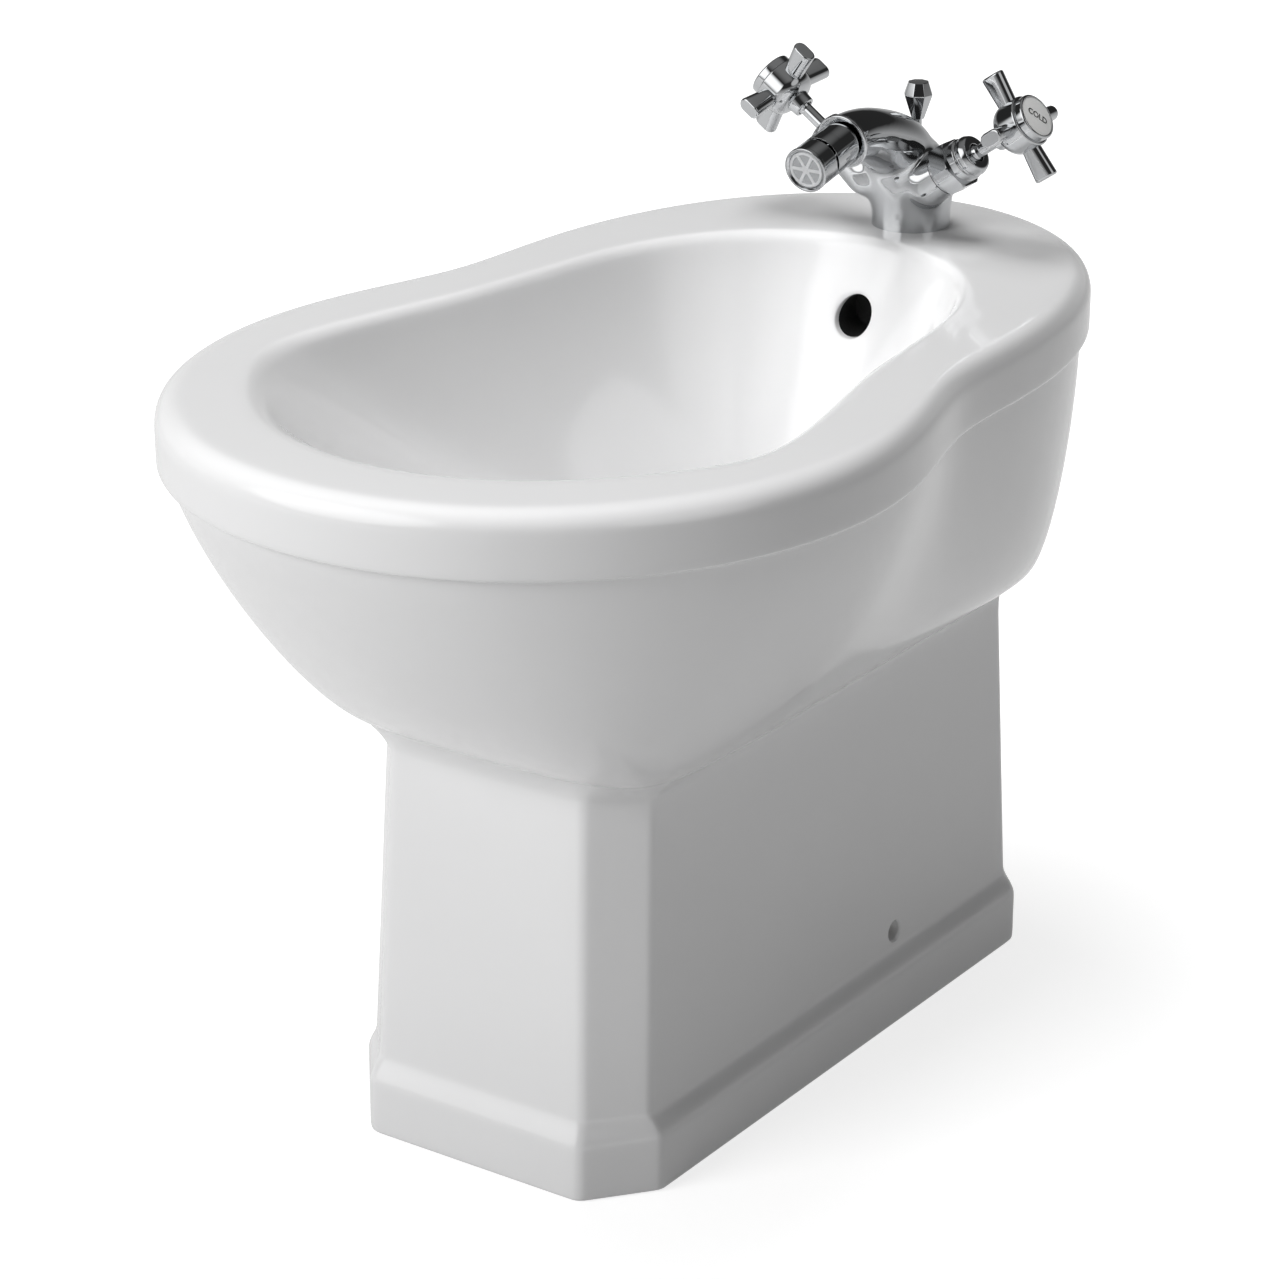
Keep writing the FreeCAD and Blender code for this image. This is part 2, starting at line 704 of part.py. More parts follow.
def horseshoe(name, thick, top):
    """A round plate with a slot at the back for the inlets and the rod, and a hole for the stud."""
    low = top - thick.value
    plate = drill(name + "_plate", bound.clamp_radius, thick, at(0, tap_back, low))
    slot = block(name + "_slot", bound.clamp_slot, bound.clamp_radius * 2, thick,
                 at(-plain.clamp_slot / 2, tap_back - plain.clamp_slot_forward, low))
    hole = drill(name + "_hole", bound.stud_radius + bound.screwed_gap, thick,
                 at(0, tap_back - plain.stud_forward, low))
    return cut(name + "_horseshoe", plate, slot, hole)


ledge_under = plain.rim_height - plain.ledge_thick
rubber_under = ledge_under - plain.clamp_rubber_thick
plate_under = rubber_under - plain.clamp_plate_thick
keep("clamp_rubber", horseshoe("rubber", bound.clamp_rubber_thick, ledge_under))
keep("clamp_plate", horseshoe("steel", bound.clamp_plate_thick, rubber_under))
nut_place = at(0, tap_back - plain.stud_forward, plate_under - plain.nut_thick)
keep("fixing_nut", cut("nut", hexagon("nut_blank", bound.nut_across_corners, bound.nut_thick, nut_place),
                       drill("nut_thread", bound.stud_radius + bound.screwed_gap, bound.nut_thick,
                             nut_place)))

# Swivel nozzle: a barrel screwed into the spout's mouth holds a hollow ball, and the front shell with
# its aerator swivels on that ball. The barrel's front is hollowed so that the shell can tilt.
thread_top = bound.housing_thread
housing_top = bound.housing_thread + bound.mouth_recess_depth + bound.housing_length
housing_start = -plain.mouth_recess_depth - plain.housing_thread
ball_height = housing_top + bound.nozzle_slit + bound.shell_lead
ball_place = mouth_place(housing_start + ball_height.value)
housing_profile = [
    (bound.housing_bore, ZERO), (bound.mouth_thread_radius - bound.screwed_gap, ZERO),
    (bound.mouth_thread_radius - bound.screwed_gap, thread_top), (bound.barrel_radius, thread_top),
    (bound.barrel_radius, housing_top), (bound.housing_bore, housing_top)]
hollow_radius = math.hypot(plain.barrel_radius - plain.housing_land, plain.shell_lead + plain.nozzle_slit)
keep("nozzle_housing", cut("housing", turned("housing_barrel", housing_profile, mouth_place(housing_start)),
                           sculpted("housing_hollow", Part.makeSphere(hollow_radius), ball_place)))

stem_radius = bound.housing_bore - bound.running_gap
stem_profile = [
    (bound.ball_water_radius, ZERO), (stem_radius, ZERO), (stem_radius, bound.ball_stem_length),
    (bound.ball_neck_radius, bound.ball_stem_length), (bound.ball_neck_radius, bound.ball_reach),
    (bound.ball_water_radius, bound.ball_reach)]
stem_place = mouth_place(housing_start + ball_height.value - plain.ball_reach)
ball_bore = drill("ball_bore", bound.ball_water_radius, bound.ball_reach + bound.ball_radius, stem_place)
keep("nozzle_ball", cut("ball", joined("ball_and_stem", turned("ball_stem", stem_profile, stem_place),
                                       sphere("ball_head", bound.ball_radius, ball_place)), ball_bore))

insert_low = bound.shell_length - bound.insert_recess - bound.insert_thick
seat_low = insert_low - bound.seat_thick
insert_radius = bound.barrel_radius - bound.shell_rim
shell_place = mouth_place(housing_start + ball_height.value - plain.shell_lead)
shell_profile = [
    (bound.shell_throat, ZERO), (bound.barrel_radius, ZERO), (bound.barrel_radius, bound.shell_length),
    (insert_radius, bound.shell_length), (insert_radius, insert_low), (bound.seat_outer, insert_low),
    (bound.seat_outer, seat_low), (bound.shell_throat, seat_low)]
shell = rounded(turned("shell_barrel", shell_profile, shell_place), bound.barrel_radius, ZERO,
                bound.shell_edge_round)
socket = sphere("shell_socket", bound.ball_radius + bound.free_gap, ball_place)
keep("nozzle_shell", cut("shell", shell, socket))
keep("nozzle_seat", ring("seat", bound.seat_inner, bound.seat_outer - bound.screwed_gap, seat_low, insert_low,
                         shell_place))

insert_place = mouth_place(housing_start + ball_height.value - plain.shell_lead + insert_low.value)
insert_outer = insert_radius - bound.screwed_gap
spokes = []
SPOKE_COUNT = 3
for index in range(SPOKE_COUNT):
    spin = Rotation(UP, 180 * index / SPOKE_COUNT)
    corner = spin.multVec(Vector(-insert_radius.value + plain.insert_rim / 2, -plain.insert_spoke / 2, 0))
    place = insert_place * Placement(corner, spin)
    spokes.append(block(f"insert_spoke_{index}", (insert_radius - bound.insert_rim / 2) * 2,
                        bound.insert_spoke, bound.insert_thick, place))
keep("aerator_insert", joined(
    "insert",
    ring("insert_ring", insert_outer - bound.insert_rim, insert_outer, ZERO, bound.insert_thick,
         insert_place),
    drill("insert_core", bound.insert_core, bound.insert_thick, insert_place), *spokes))


# Valves and cross handles: a rubber seat and two polished discs under a hexagon bonnet, and a spindle
# that carries the hub, its four blades, the bezel with its enamel disc, and the screw under that.
def ported_disc(name, place):
    """A polished valve disc with one water port."""
    disc = drill(name + "_blank", bound.disc_radius, bound.disc_thick, place)
    port = drill(name + "_port", bound.disc_port_radius, bound.disc_thick,
                 place * at(plain.disc_port_off, 0, 0))
    return cut(name, disc, port)


def blade_wire(deep, radius):
    """The rounded section of a handle blade, standing at this radius along X."""
    half = (deep - plain.blade_thick) / 2
    side = plain.blade_thick / 2
    low = [Vector(radius, side, -half), Vector(radius, 0, -half - side), Vector(radius, -side, -half)]
    high = [Vector(radius, -side, half), Vector(radius, 0, half + side), Vector(radius, side, half)]
    return Part.Wire([Part.Arc(*low).toShape(), Part.LineSegment(low[-1], high[0]).toShape(),
                      Part.Arc(*high).toShape(), Part.LineSegment(high[-1], low[0]).toShape()])


def cross_blades():
    """Four blades that widen towards their rounded ends."""
    blade = Part.makeLoft([blade_wire(plain.blade_root_deep, plain.hub_radius - plain.blade_sunk),
                           blade_wire(plain.blade_tip_deep, plain.cross_radius)], True, True)
    tip = [edge for edge in blade.Edges if math.isclose(edge.BoundBox.XMin, plain.cross_radius, rel_tol=1e-6)]
    blade = blade.makeFillet(plain.blade_end_round, tip)
    blades = []
    for quarter in range(4):
        turned_blade = blade.copy()
        turned_blade.rotate(Vector(), UP, 90 * quarter)
        blades.append(turned_blade)
    return Part.makeCompound(blades)


bonnet_low = plain.valve_floor + plain.seal_thick
ring_low = bound.arm_reach - bound.valve_floor - bound.seal_thick
hex_low = ring_low + bound.bonnet_ring_thick
collar_low = hex_low + bound.bonnet_hex_thick
collar_top = collar_low + bound.bonnet_collar_thick
spindle_bore = bound.spindle_radius + bound.running_gap
moving_low = bonnet_low + plain.disc_thick + plain.disc_gap
spindle_low = moving_low + plain.disc_thick
spindle_top = bound.hub_start + bound.hub_socket_depth - bound.valve_floor - bound.seal_thick - \
    bound.disc_thick * 2 - bound.disc_gap
web_top = bound.hub_socket_depth + bound.hub_web
bezel_low = plain.hub_start + plain.hub_length - plain.bezel_spigot_length
bezel_top = bound.bezel_spigot_length + bound.bezel_thick
spigot_bore = bound.bezel_spigot_radius - bound.bezel_spigot_wall
index_low = bezel_top - bound.index_thick
for side, name, spin in ((-1, "hot", plain.hot_turn_at_rest), (1, "cold", 0.0)):
    keep(name + "_seat_seal", ring(name + "_seal", bound.seal_inner, bound.valve_bore - bound.screwed_gap,
                                   ZERO, bound.seal_thick, valve_place(side, plain.valve_floor)))
    keep(name + "_fixed_disc", ported_disc(name + "_lower_disc", valve_place(side, bonnet_low)))
    keep(name + "_moving_disc", ported_disc(name + "_upper_disc", valve_place(side, moving_low, spin)))

    bonnet_place = valve_place(side, bonnet_low)
    bonnet_profile = [
        (bound.skirt_bore, ZERO), (bound.valve_bore - bound.screwed_gap, ZERO),
        (bound.valve_bore - bound.screwed_gap, ring_low), (bound.bonnet_ring_radius, ring_low),
        (bound.bonnet_ring_radius, hex_low), (bound.bonnet_collar_radius, hex_low),
        (bound.bonnet_collar_radius, collar_top), (spindle_bore, collar_top),
        (spindle_bore, bound.skirt_depth), (bound.skirt_bore, bound.skirt_depth)]
    core = rounded(turned(name + "_bonnet_core", bonnet_profile, bonnet_place),
                   bound.bonnet_collar_radius, collar_top, bound.bonnet_collar_round)
    hex_place = valve_place(side, bonnet_low + hex_low.value)
    flats = hexagon(name + "_bonnet_flats", bound.bonnet_hex, bound.bonnet_hex_thick, hex_place)
    clear = drill(name + "_bonnet_bore", spindle_bore, bound.bonnet_hex_thick, hex_place)
    keep(name + "_bonnet", joined(name + "_headwork", core, cut(name + "_hex", flats, clear)))

    spindle_profile = [
        (ZERO, ZERO), (bound.spindle_head, ZERO), (bound.spindle_head, bound.spindle_head_thick),
        (bound.spindle_radius, bound.spindle_head_thick), (bound.spindle_radius, spindle_top),
        (bound.screw_radius, spindle_top), (bound.screw_radius, spindle_top - bound.screw_length),
        (ZERO, spindle_top - bound.screw_length)]
    keep(name + "_spindle", turned(name + "_shaft", spindle_profile, valve_place(side, spindle_low, spin)))

    hub_profile = [
        (spindle_bore, ZERO), (bound.hub_boss_radius, ZERO), (bound.hub_boss_radius, bound.hub_boss_length),
        (bound.hub_radius, bound.hub_boss_length), (bound.hub_radius, bound.hub_length),
        (bound.hub_recess_radius, bound.hub_length), (bound.hub_recess_radius, web_top),
        (bound.screw_radius, web_top), (bound.screw_radius, bound.hub_socket_depth),
        (spindle_bore, bound.hub_socket_depth)]
    hub = turned(name + "_hub_bell", hub_profile, valve_place(side, plain.hub_start, spin))
    hub = rounded(hub, bound.hub_radius, bound.hub_boss_length, bound.hub_dome)
    keep(name + "_hub", rounded(hub, bound.hub_radius, bound.hub_length, bound.hub_edge_round))

    blades = sculpted(name + "_blades", cross_blades(), valve_place(side, plain.cross_height, spin))
    keep(name + "_arms", cut(name + "_cross", blades, hub))

    bezel_profile = [
        (ZERO, bound.bezel_spigot_length), (spigot_bore, bound.bezel_spigot_length),
        (spigot_bore, ZERO), (bound.bezel_spigot_radius, ZERO),
        (bound.bezel_spigot_radius, bound.bezel_spigot_length),
        (bound.bezel_radius, bound.bezel_spigot_length),
        (bound.bezel_radius, bezel_top), (bound.index_radius + bound.screwed_gap, bezel_top),
        (bound.index_radius + bound.screwed_gap, index_low), (ZERO, index_low)]
    bezel = turned(name + "_bezel_cap", bezel_profile, valve_place(side, bezel_low, spin))
    keep(name + "_bezel", rounded(bezel, bound.bezel_radius, bezel_top, bound.bezel_edge_round))
    keep(name + "_index", drill(name + "_index_disc", bound.index_radius, bound.index_thick,
                                valve_place(side, bezel_low + index_low.value, spin)))

    screw_place = valve_place(side, plain.hub_start + web_top.value - plain.screw_length, spin)
    screw_profile = [
        (ZERO, ZERO), (bound.screw_radius - bound.screwed_gap, ZERO),
        (bound.screw_radius - bound.screwed_gap, bound.screw_length),
        (bound.screw_head_radius, bound.screw_length),
        (bound.screw_head_radius, bound.screw_length + bound.screw_head_thick),
        (ZERO, bound.screw_length + bound.screw_head_thick)]
    keep(name + "_screw", turned(name + "_handle_screw", screw_profile, screw_place))

# Lift knob and rod: the rod slides through the back of the tap; at rest it is down and the plug is open.
lever_height = plain.floor_height - plain.lever_drop
pivot = Vector(0, waste_back + plain.lever_arm_in, lever_height)
rest_tilt = math.asin(plain.plug_lift / 2 / plain.lever_arm_in)
rod_side = rod_back - pivot.y
clamp_height = lever_height - rod_side * math.tan(rest_tilt)
knob_profile = [
    (bound.rod_radius + bound.screwed_gap, ZERO), (bound.knob_foot_radius, ZERO),
    (bound.knob_wide_radius, bound.knob_cone), (bound.knob_top_radius, bound.knob_height),
    (ZERO, bound.knob_height), (ZERO, bound.knob_socket),
    (bound.rod_radius + bound.screwed_gap, bound.knob_socket)]
keep("lift_knob", turned("knob", knob_profile, at(0, rod_back, plain.rim_height + plain.knob_lift)))
rod_low = clamp_height + plain.rod_clamp_above - plain.rod_socket
rod_high = plain.rim_height + plain.knob_lift + plain.knob_socket
keep("lift_rod", drill("rod", bound.rod_radius, as_size(rod_high - rod_low), at(0, rod_back, rod_low)))

# Rod clamp: a brass block that grips the rod with a thumb screw and carries the lever in a loose hole.
half_clamp = plain.rod_clamp_size / 2
clamp_low = clamp_height - plain.rod_clamp_below
clamp_block = block("clamp_block", bound.rod_clamp_size, bound.rod_clamp_size,
                    bound.rod_clamp_below + bound.rod_clamp_above,
                    at(-half_clamp, rod_back - half_clamp, clamp_low))
screw_height = clamp_height + plain.rod_clamp_above - plain.rod_socket / 2
screw_start = plain.rod_radius
keep("rod_clamp", cut(
    "clamp", clamp_block,
    drill("clamp_lever_hole", bound.rod_clamp_hole, bound.rod_clamp_size,
          at(0, rod_back - half_clamp, clamp_height, along(BACK))),
    drill("clamp_rod_hole", bound.rod_radius + bound.screwed_gap, bound.rod_socket, at(0, rod_back, rod_low)),
    drill("clamp_screw_hole", bound.clamp_screw_radius + bound.screwed_gap, bound.rod_clamp_size / 2,
          at(0, rod_back, screw_height, along(ACROSS)))))
screw_shank = bound.rod_clamp_size / 2 - bound.rod_radius
clamp_screw_profile = [
    (ZERO, ZERO), (bound.clamp_screw_radius, ZERO), (bound.clamp_screw_radius, screw_shank),
    (bound.clamp_screw_head, screw_shank),
    (bound.clamp_screw_head, screw_shank + bound.clamp_screw_head_thick),
    (ZERO, screw_shank + bound.clamp_screw_head_thick)]
keep("clamp_screw", turned("thumb_screw", clamp_screw_profile,
                           at(screw_start, rod_back, screw_height, along(ACROSS))))

# Pivot lever: a rod through a plastic ball, which rocks in the port of the waste.
lever_way = Vector(0, math.cos(rest_tilt), -math.sin(rest_tilt))
lever_inner = bound.lever_arm_in + bound.lever_end_in
lever_length = as_size(rod_side / math.cos(rest_tilt)) + bound.lever_end_out + lever_inner
lever_place = Placement(pivot - lever_way * lever_inner.value, along(lever_way))
keep("pivot_lever", drill("lever", bound.lever_radius, lever_length, lever_place))
keep("pivot_ball", cut("rocker", sphere("rocker_ball", bound.pivot_radius, Placement(pivot, Rotation())),
                       drill("rocker_hole", bound.lever_radius + bound.screwed_gap, lever_length,
                             lever_place)))

# Waste: a flange with a slotted tube screws down into the waste body, with the china clamped between
# a thin seal above and a thick washer below. The body's side port holds the lever's ball.
flange_low = plain.floor_height + plain.flange_seal_thick
flange_top = bound.waste_tube_length + bound.flange_thick
seat_floor = flange_top - bound.seat_depth
tube_low = flange_low - plain.waste_tube_length
flange_profile = [
    (bound.waste_bore, ZERO), (bound.waste_tube_radius, ZERO),
    (bound.waste_tube_radius, bound.waste_tube_length),
    (bound.flange_radius, bound.waste_tube_length), (bound.flange_radius, flange_top),
    (bound.seat_radius, flange_top), (bound.seat_radius, seat_floor), (bound.waste_bore, seat_floor)]
flange = rounded(turned("flange_tube", flange_profile, at(0, waste_back, tube_low)),
                 bound.flange_radius, flange_top, bound.flange_edge_round)
slot = block("overflow_slots", bound.waste_tube_radius * 2, bound.slot_width, bound.slot_height,
             at(-plain.waste_tube_radius, waste_back - plain.slot_width / 2,
                duct_foot_height - plain.slot_height / 2))
keep("waste_flange", cut("flange", flange, slot))
keep("flange_seal", ring("upper_seal", bound.flange_seal_inner, bound.flange_seal_outer, ZERO,
                         bound.flange_seal_thick, at(0, waste_back, plain.floor_height)))
thread_bore = bound.waste_tube_radius + bound.screwed_gap
washer_low = plain.floor_height - plain.floor_thick - plain.washer_thick
keep("under_washer", ring("washer", thread_bore, bound.washer_radius, ZERO, bound.washer_thick,
                          at(0, waste_back, washer_low)))
body_top = bound.tail_length + bound.body_length
collar_foot = body_top - bound.body_collar_thick
thread_foot = as_size(tube_low - washer_low) + body_top
body_profile = [
    (bound.waste_bore, ZERO), (bound.tail_radius, ZERO), (bound.tail_radius, bound.tail_length),
    (bound.body_radius, bound.tail_length), (bound.body_radius, collar_foot),
    (bound.washer_radius, collar_foot),
    (bound.washer_radius, body_top), (thread_bore, body_top), (thread_bore, thread_foot),
    (bound.waste_bore, thread_foot)]
body_tube = turned("body_tube", body_profile, at(0, waste_back, washer_low - body_top.value))
port_start = thread_bore + bound.overrun
port_end = bound.lever_arm_in + bound.port_end_trail
port = drill("port_boss", bound.port_radius, port_end - port_start,
             at(0, waste_back + port_start.value, lever_height, along(BACK)))
port_way = drill("port_way", bound.port_bore, port_end, at(0, waste_back, lever_height, along(BACK)))
pocket_place = at(0, pivot.y - plain.port_pocket_lead, lever_height, along(BACK))
pocket_radius = bound.pivot_radius + bound.free_gap
pocket = drill("port_pocket", pocket_radius, bound.port_pocket_lead + bound.port_end_trail, pocket_place)
keep("waste_body", cut("lower_waste", joined("waste_casting", body_tube, port), port_way, pocket))
keep("ball_gasket", ring("gasket", bound.gasket_inner, pocket_radius - bound.screwed_gap, ZERO,
                         bound.gasket_thick, pocket_place))
nut_top = bound.ball_nut_skirt + bound.ball_nut_wall
nut_bore = bound.port_radius + bound.screwed_gap
ball_nut_profile = [
    (nut_bore, ZERO), (bound.ball_nut_radius, ZERO), (bound.ball_nut_radius, nut_top),
    (bound.ball_nut_hole, nut_top), (bound.ball_nut_hole, bound.ball_nut_skirt),
    (nut_bore, bound.ball_nut_skirt)]
ball_nut_start = waste_back + port_end.value - plain.ball_nut_skirt
keep("ball_nut", turned("port_nut", ball_nut_profile, at(0, ball_nut_start, lever_height, along(BACK))))

# Plug: a domed cap on a stem with guide fins and an eye that the lever's inner end lifts.
closed_seal = tube_low + seat_floor.value + plain.free_gap
cap_low = closed_seal + plain.plug_lift + plain.plug_seal_thick
eye_height = lever_height + plain.lever_arm_in * math.tan(rest_tilt)
cap_profile = [(ZERO, ZERO), (bound.plug_radius, ZERO), (bound.plug_radius, bound.plug_crown),
               (ZERO, bound.plug_crown)]
cap = rounded(turned("plug_cap", cap_profile, at(0, waste_back, cap_low)),
              bound.plug_radius, bound.plug_crown, bound.plug_edge_round)
plug_stem = drill("plug_stem", bound.plug_stem_radius, as_size(cap_low - eye_height),
                  at(0, waste_back, eye_height))
fin_low = cap_low - plain.plug_guide_drop
fins = []
for index in range(2):
    fin_place = at(0, waste_back, fin_low, Rotation(UP, 90 * index))
    fins.append(block(f"plug_fin_{index}", bound.plug_guide_radius * 2, bound.plug_guide_thick,
                      bound.plug_guide_height,
                      fin_place * at(-plain.plug_guide_radius, -plain.plug_guide_thick / 2, 0)))
eye_place = at(0, waste_back - plain.plug_eye_thick / 2, eye_height, along(BACK))
eye = drill("plug_eye", bound.plug_eye_radius, bound.plug_eye_thick, eye_place)
eye_way = drill("plug_eye_hole", bound.plug_eye_hole, bound.plug_eye_thick + bound.plug_stem_radius * 2,
                eye_place * at(0, 0, -plain.plug_stem_radius))
keep("plug", cut("plug_piece", joined("plug_blank", cap, plug_stem, eye, *fins), eye_way))
keep("plug_seal", ring("plug_ring", bound.plug_seal_inner, bound.plug_seal_outer, ZERO, bound.plug_seal_thick,
                       at(0, waste_back, cap_low - plain.plug_seal_thick)))

# Every object has to be sound before the pieces are written.
doc.recompute()
for obj in doc.Objects:
    faults = [state for state in obj.State if state in ("Invalid", "Error")]
    if faults:
        raise RuntimeError(f"{obj.Label} failed: {faults}")
for label, obj in pieces.items():
    if obj.Shape.isNull() or not obj.Shape.isValid() or not obj.Shape.Solids:
        raise RuntimeError(f"{label} has no sound shape")

os.makedirs("parts", exist_ok=True)
for label, obj in pieces.items():
    obj.Shape.exportStep(f"parts/{label}.step")
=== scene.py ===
import math

import bmesh
import bpy
from mathutils import Matrix, Vector
from mathutils.bvhtree import BVHTree


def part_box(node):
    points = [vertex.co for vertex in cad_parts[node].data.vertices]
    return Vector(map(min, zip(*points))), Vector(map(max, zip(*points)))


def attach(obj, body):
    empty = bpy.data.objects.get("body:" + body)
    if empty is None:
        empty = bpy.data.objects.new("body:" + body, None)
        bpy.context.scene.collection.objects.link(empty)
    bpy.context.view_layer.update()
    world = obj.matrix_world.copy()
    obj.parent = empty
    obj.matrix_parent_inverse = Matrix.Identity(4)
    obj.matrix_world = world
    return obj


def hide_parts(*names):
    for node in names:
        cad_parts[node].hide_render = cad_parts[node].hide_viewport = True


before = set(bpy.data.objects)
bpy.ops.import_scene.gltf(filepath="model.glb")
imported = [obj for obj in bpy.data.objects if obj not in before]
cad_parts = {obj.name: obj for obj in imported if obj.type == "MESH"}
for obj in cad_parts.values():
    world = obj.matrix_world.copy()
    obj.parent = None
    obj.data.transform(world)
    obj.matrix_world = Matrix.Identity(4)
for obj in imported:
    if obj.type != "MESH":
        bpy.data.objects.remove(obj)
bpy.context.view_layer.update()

# Pan: one hollow casting of white vitreous china, slip cast, glazed where it shows and raw inside; deep in
# the overflow passage its walls are painted near black as shade.
# It stands on its plinth; the rim is waisted, and the bowl hangs on a chamfered pedestal.
# The mesh is drawn in millimetres as one closed skin of rings, from the plinth over the rim and back inside.
MM = 0.001
RIM_SHARES = [(0, 1), (0.506, 0.857), (0.769, 0.561), (0.834, 0.287), (0.857, 0.08), (0.946, -0.12),
              (1, -0.378), (0.873, -0.668), (0.518, -0.908), (0, -1)]
OPENING_SHARES = [(0, 1), (0.446, 0.887), (0.694, 0.63), (0.7725, 0.384), (0.815, 0.189), (0.873, -0.003),
                  (0.997, -0.357), (0.922, -0.611), (0.553, -0.883), (0, -1)]
NECK_SHARES = [(0, 1), (0.72, 0.985), (0.965, 0.86), (1, 0.6), (1, 0.29), (1, -0.29),
               (1, -0.6), (0.965, -0.845), (0.7, -0.975), (0, -1)]
DRAIN_ANGLES = [0, 25, 50, 72, 90, 105, 125, 145, 163, 180]
# Runs of columns round one side (from, to, steps): long ones, and short ones at the pedestal's corners.
COLUMN_RUNS = [(0, 1.4, 10), (1.4, 1.8, 5), (1.8, 6.65, 32), (6.65, 7.05, 5), (7.05, 8, 6), (8, 8.4, 5),
               (8.4, 9, 5)]
columns = [start + (end - start) * step / steps
           for start, end, steps in COLUMN_RUNS for step in range(steps)]
columns.append(COLUMN_RUNS[-1][1])

pan_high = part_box("ceramic_pan")[1] / MM
rim_half_width, rim_half_length, rim_top = pan_high.x, pan_high.y, pan_high.z
flange_low, flange_high = (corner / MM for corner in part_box("waste_flange"))
waste_back = (flange_low.y + flange_high.y) / 2
rim_band, rim_round, lip_round, band_round, band_set_in = 33, 12, 6, 3, 5
opening_half_width, opening_back, opening_front = 142, rim_half_length - 102, 246
ledge_thick, china_wall = 14, 9
floor_height, floor_radius, floor_under, floor_under_radius = 256, 34, 230, 60
waste_hole, hole_round, hole_sink = 23.5, 0.7, 0.2
neck_height, neck = 224, (99, 167, 230)
plinth = (93, 173.5, 218, 27.5, 34)
foot = (86.5, 167.5, 216, 23.5, 27)
stem = (82, 158.5, 208, 23.5, 27)
plinth_band, foot_height, stem_height, cove_out, cove_ease = 28, 45, 208, 7, 0.7
foot_edge, plinth_rows, corner_soft, hollow_drop = 2.5, (10, 18, 24), 9, 4
round_front, round_back, basin_power = 1.2, 1.73, 2 / 1.15
overflow_height, overflow_radius, overflow_lip, overflow_end, boss_wall = 361, 11, 1.3, 196, 6
# The overflow shows glaze to overflow_glazed deep; from overflow_painted_shade on, its walls are painted
# near black as painted shade.
overflow_glazed, overflow_painted_shade, bowl_side, wall_side = 5, 5.8, 100, 218
row_step, boss_step = 6.6, 8.5


def waisted(shares, half_width, front, back):
    """One side of a smooth closed outline through points given as shares of its half sizes."""
    middle, half_length = (back - front) / 2, (back + front) / 2
    return spread([Vector((x * half_width, middle + y * half_length)) for x, y in shares])


def spread(side):
    """Points at every column of the smooth closed curve through one side and its mirror image."""
    knots = side + [Vector((-p.x, p.y)) for p in side[-2:0:-1]]
    count = len(knots)
    pulls = knots
    for _ in range(40):
        pulls = [(knots[i] * 6 - pulls[i - 1] - pulls[(i + 1) % count]) / 4 for i in range(count)]
    points = []
    for column in columns:
        span = int(column)
        t = column - span
        weights = ((1 - t) ** 3, 3 * t ** 3 - 6 * t ** 2 + 4, 1 + 3 * t + 3 * t ** 2 - 3 * t ** 3, t ** 3)
        near = [pulls[(span + step) % count] for step in (-1, 0, 1, 2)]
        points.append(sum((pull * weight / 6 for pull, weight in zip(near, weights)), Vector((0, 0))))
    return points


def eased(enter, corner, leave, turn, t):
    """A point on the round that takes a path past a corner."""
    pull = 2 * t * (1 - t) * math.cos(turn / 2)
    total = (1 - t) ** 2 + pull + t ** 2
    return (enter * (1 - t) ** 2 + corner * pull + leave * t ** 2) / total


def chamfered(half_width, front, back, wide, deep, grow=0.0):
    """One side of the pedestal's six-cornered outline, with soft corners, at every column."""
    half_width, front, back = half_width + grow, front + grow, back + grow
    path = [Vector(p) for p in ((0, back), (half_width, back), (half_width, deep - front),
                                (half_width - wide, -front), (0, -front))]
    rounds = []
    for before, here, after in zip(path, path[1:], path[2:]):
        turn = (here - before).angle(after - here)
        reach = corner_soft * math.tan(turn / 2)
        rounds.append((here + (before - here).normalized() * reach, here,
                       here + (after - here).normalized() * reach, turn))
    starts = [path[0]] + [leave for _, _, leave, _ in rounds]
    ends = [enter for enter, _, _, _ in rounds] + [path[-1]]
    points = []
    for run, (_, _, steps) in enumerate(COLUMN_RUNS):
        for step in range(steps):
            if run % 2:
                points.append(eased(*rounds[run // 2], step / steps))
            else:
                points.append(starts[run // 2].lerp(ends[run // 2], step / steps))
    return points + [path[-1]]


def between(first, second, share):
    return [a.lerp(b, share) for a, b in zip(first, second)]


def rim(inset):
    return waisted(RIM_SHARES, rim_half_width - inset, rim_half_length - inset, rim_half_length - inset)


def neck_oval(inset):
    half_width, front, back = (size - inset for size in neck)
    return waisted(NECK_SHARES, half_width, front, back)


def drain(radius):
    angles = [math.radians(angle) for angle in DRAIN_ANGLES]
    return spread([Vector((radius * math.sin(turn), waste_back + radius * math.cos(turn)))
                   for turn in angles])


def dish(angle, power):
    """How far a dished wall has dropped and drawn in at an angle of its profile."""
    turn = math.radians(angle)
    return math.sin(turn) ** power, 1 - max(math.cos(turn), 0) ** power


def belly(angle, top, foot):
    """One side of the bowl's outside at an angle of its profile, rounder at the back, and its drop."""
    drop = math.sin(math.radians(angle)) ** (2 / round_front)
    side = []
    for a, b in zip(top, foot):
        power = round_back + (round_front - round_back) * (top[0].y - a.y) / (top[0].y - top[-1].y)
        side.append(a.lerp(b, 1 - max(1 - drop ** power, 0) ** (1 / power)))
    return side, drop


def basin(height, grow=0.0, floor=floor_height, radius=floor_radius):
    """One side of the bowl's inside at a height, or with a growth of the china behind it."""
    opening = waisted(OPENING_SHARES, opening_half_width + grow, opening_front + grow, opening_back + grow)
    share = min(max((rim_top - height) / (rim_top - floor), 0), 1)
    angle = math.degrees(math.asin(share ** (1 / basin_power)))
    return between(opening, drain(radius), dish(angle, basin_power)[1])


def ring_of(side, height):
    right = [Vector((p.x, p.y, height)) for p in side]
    return right + [Vector((-p.x, p.y, p.z)) for p in right[-2:0:-1]]


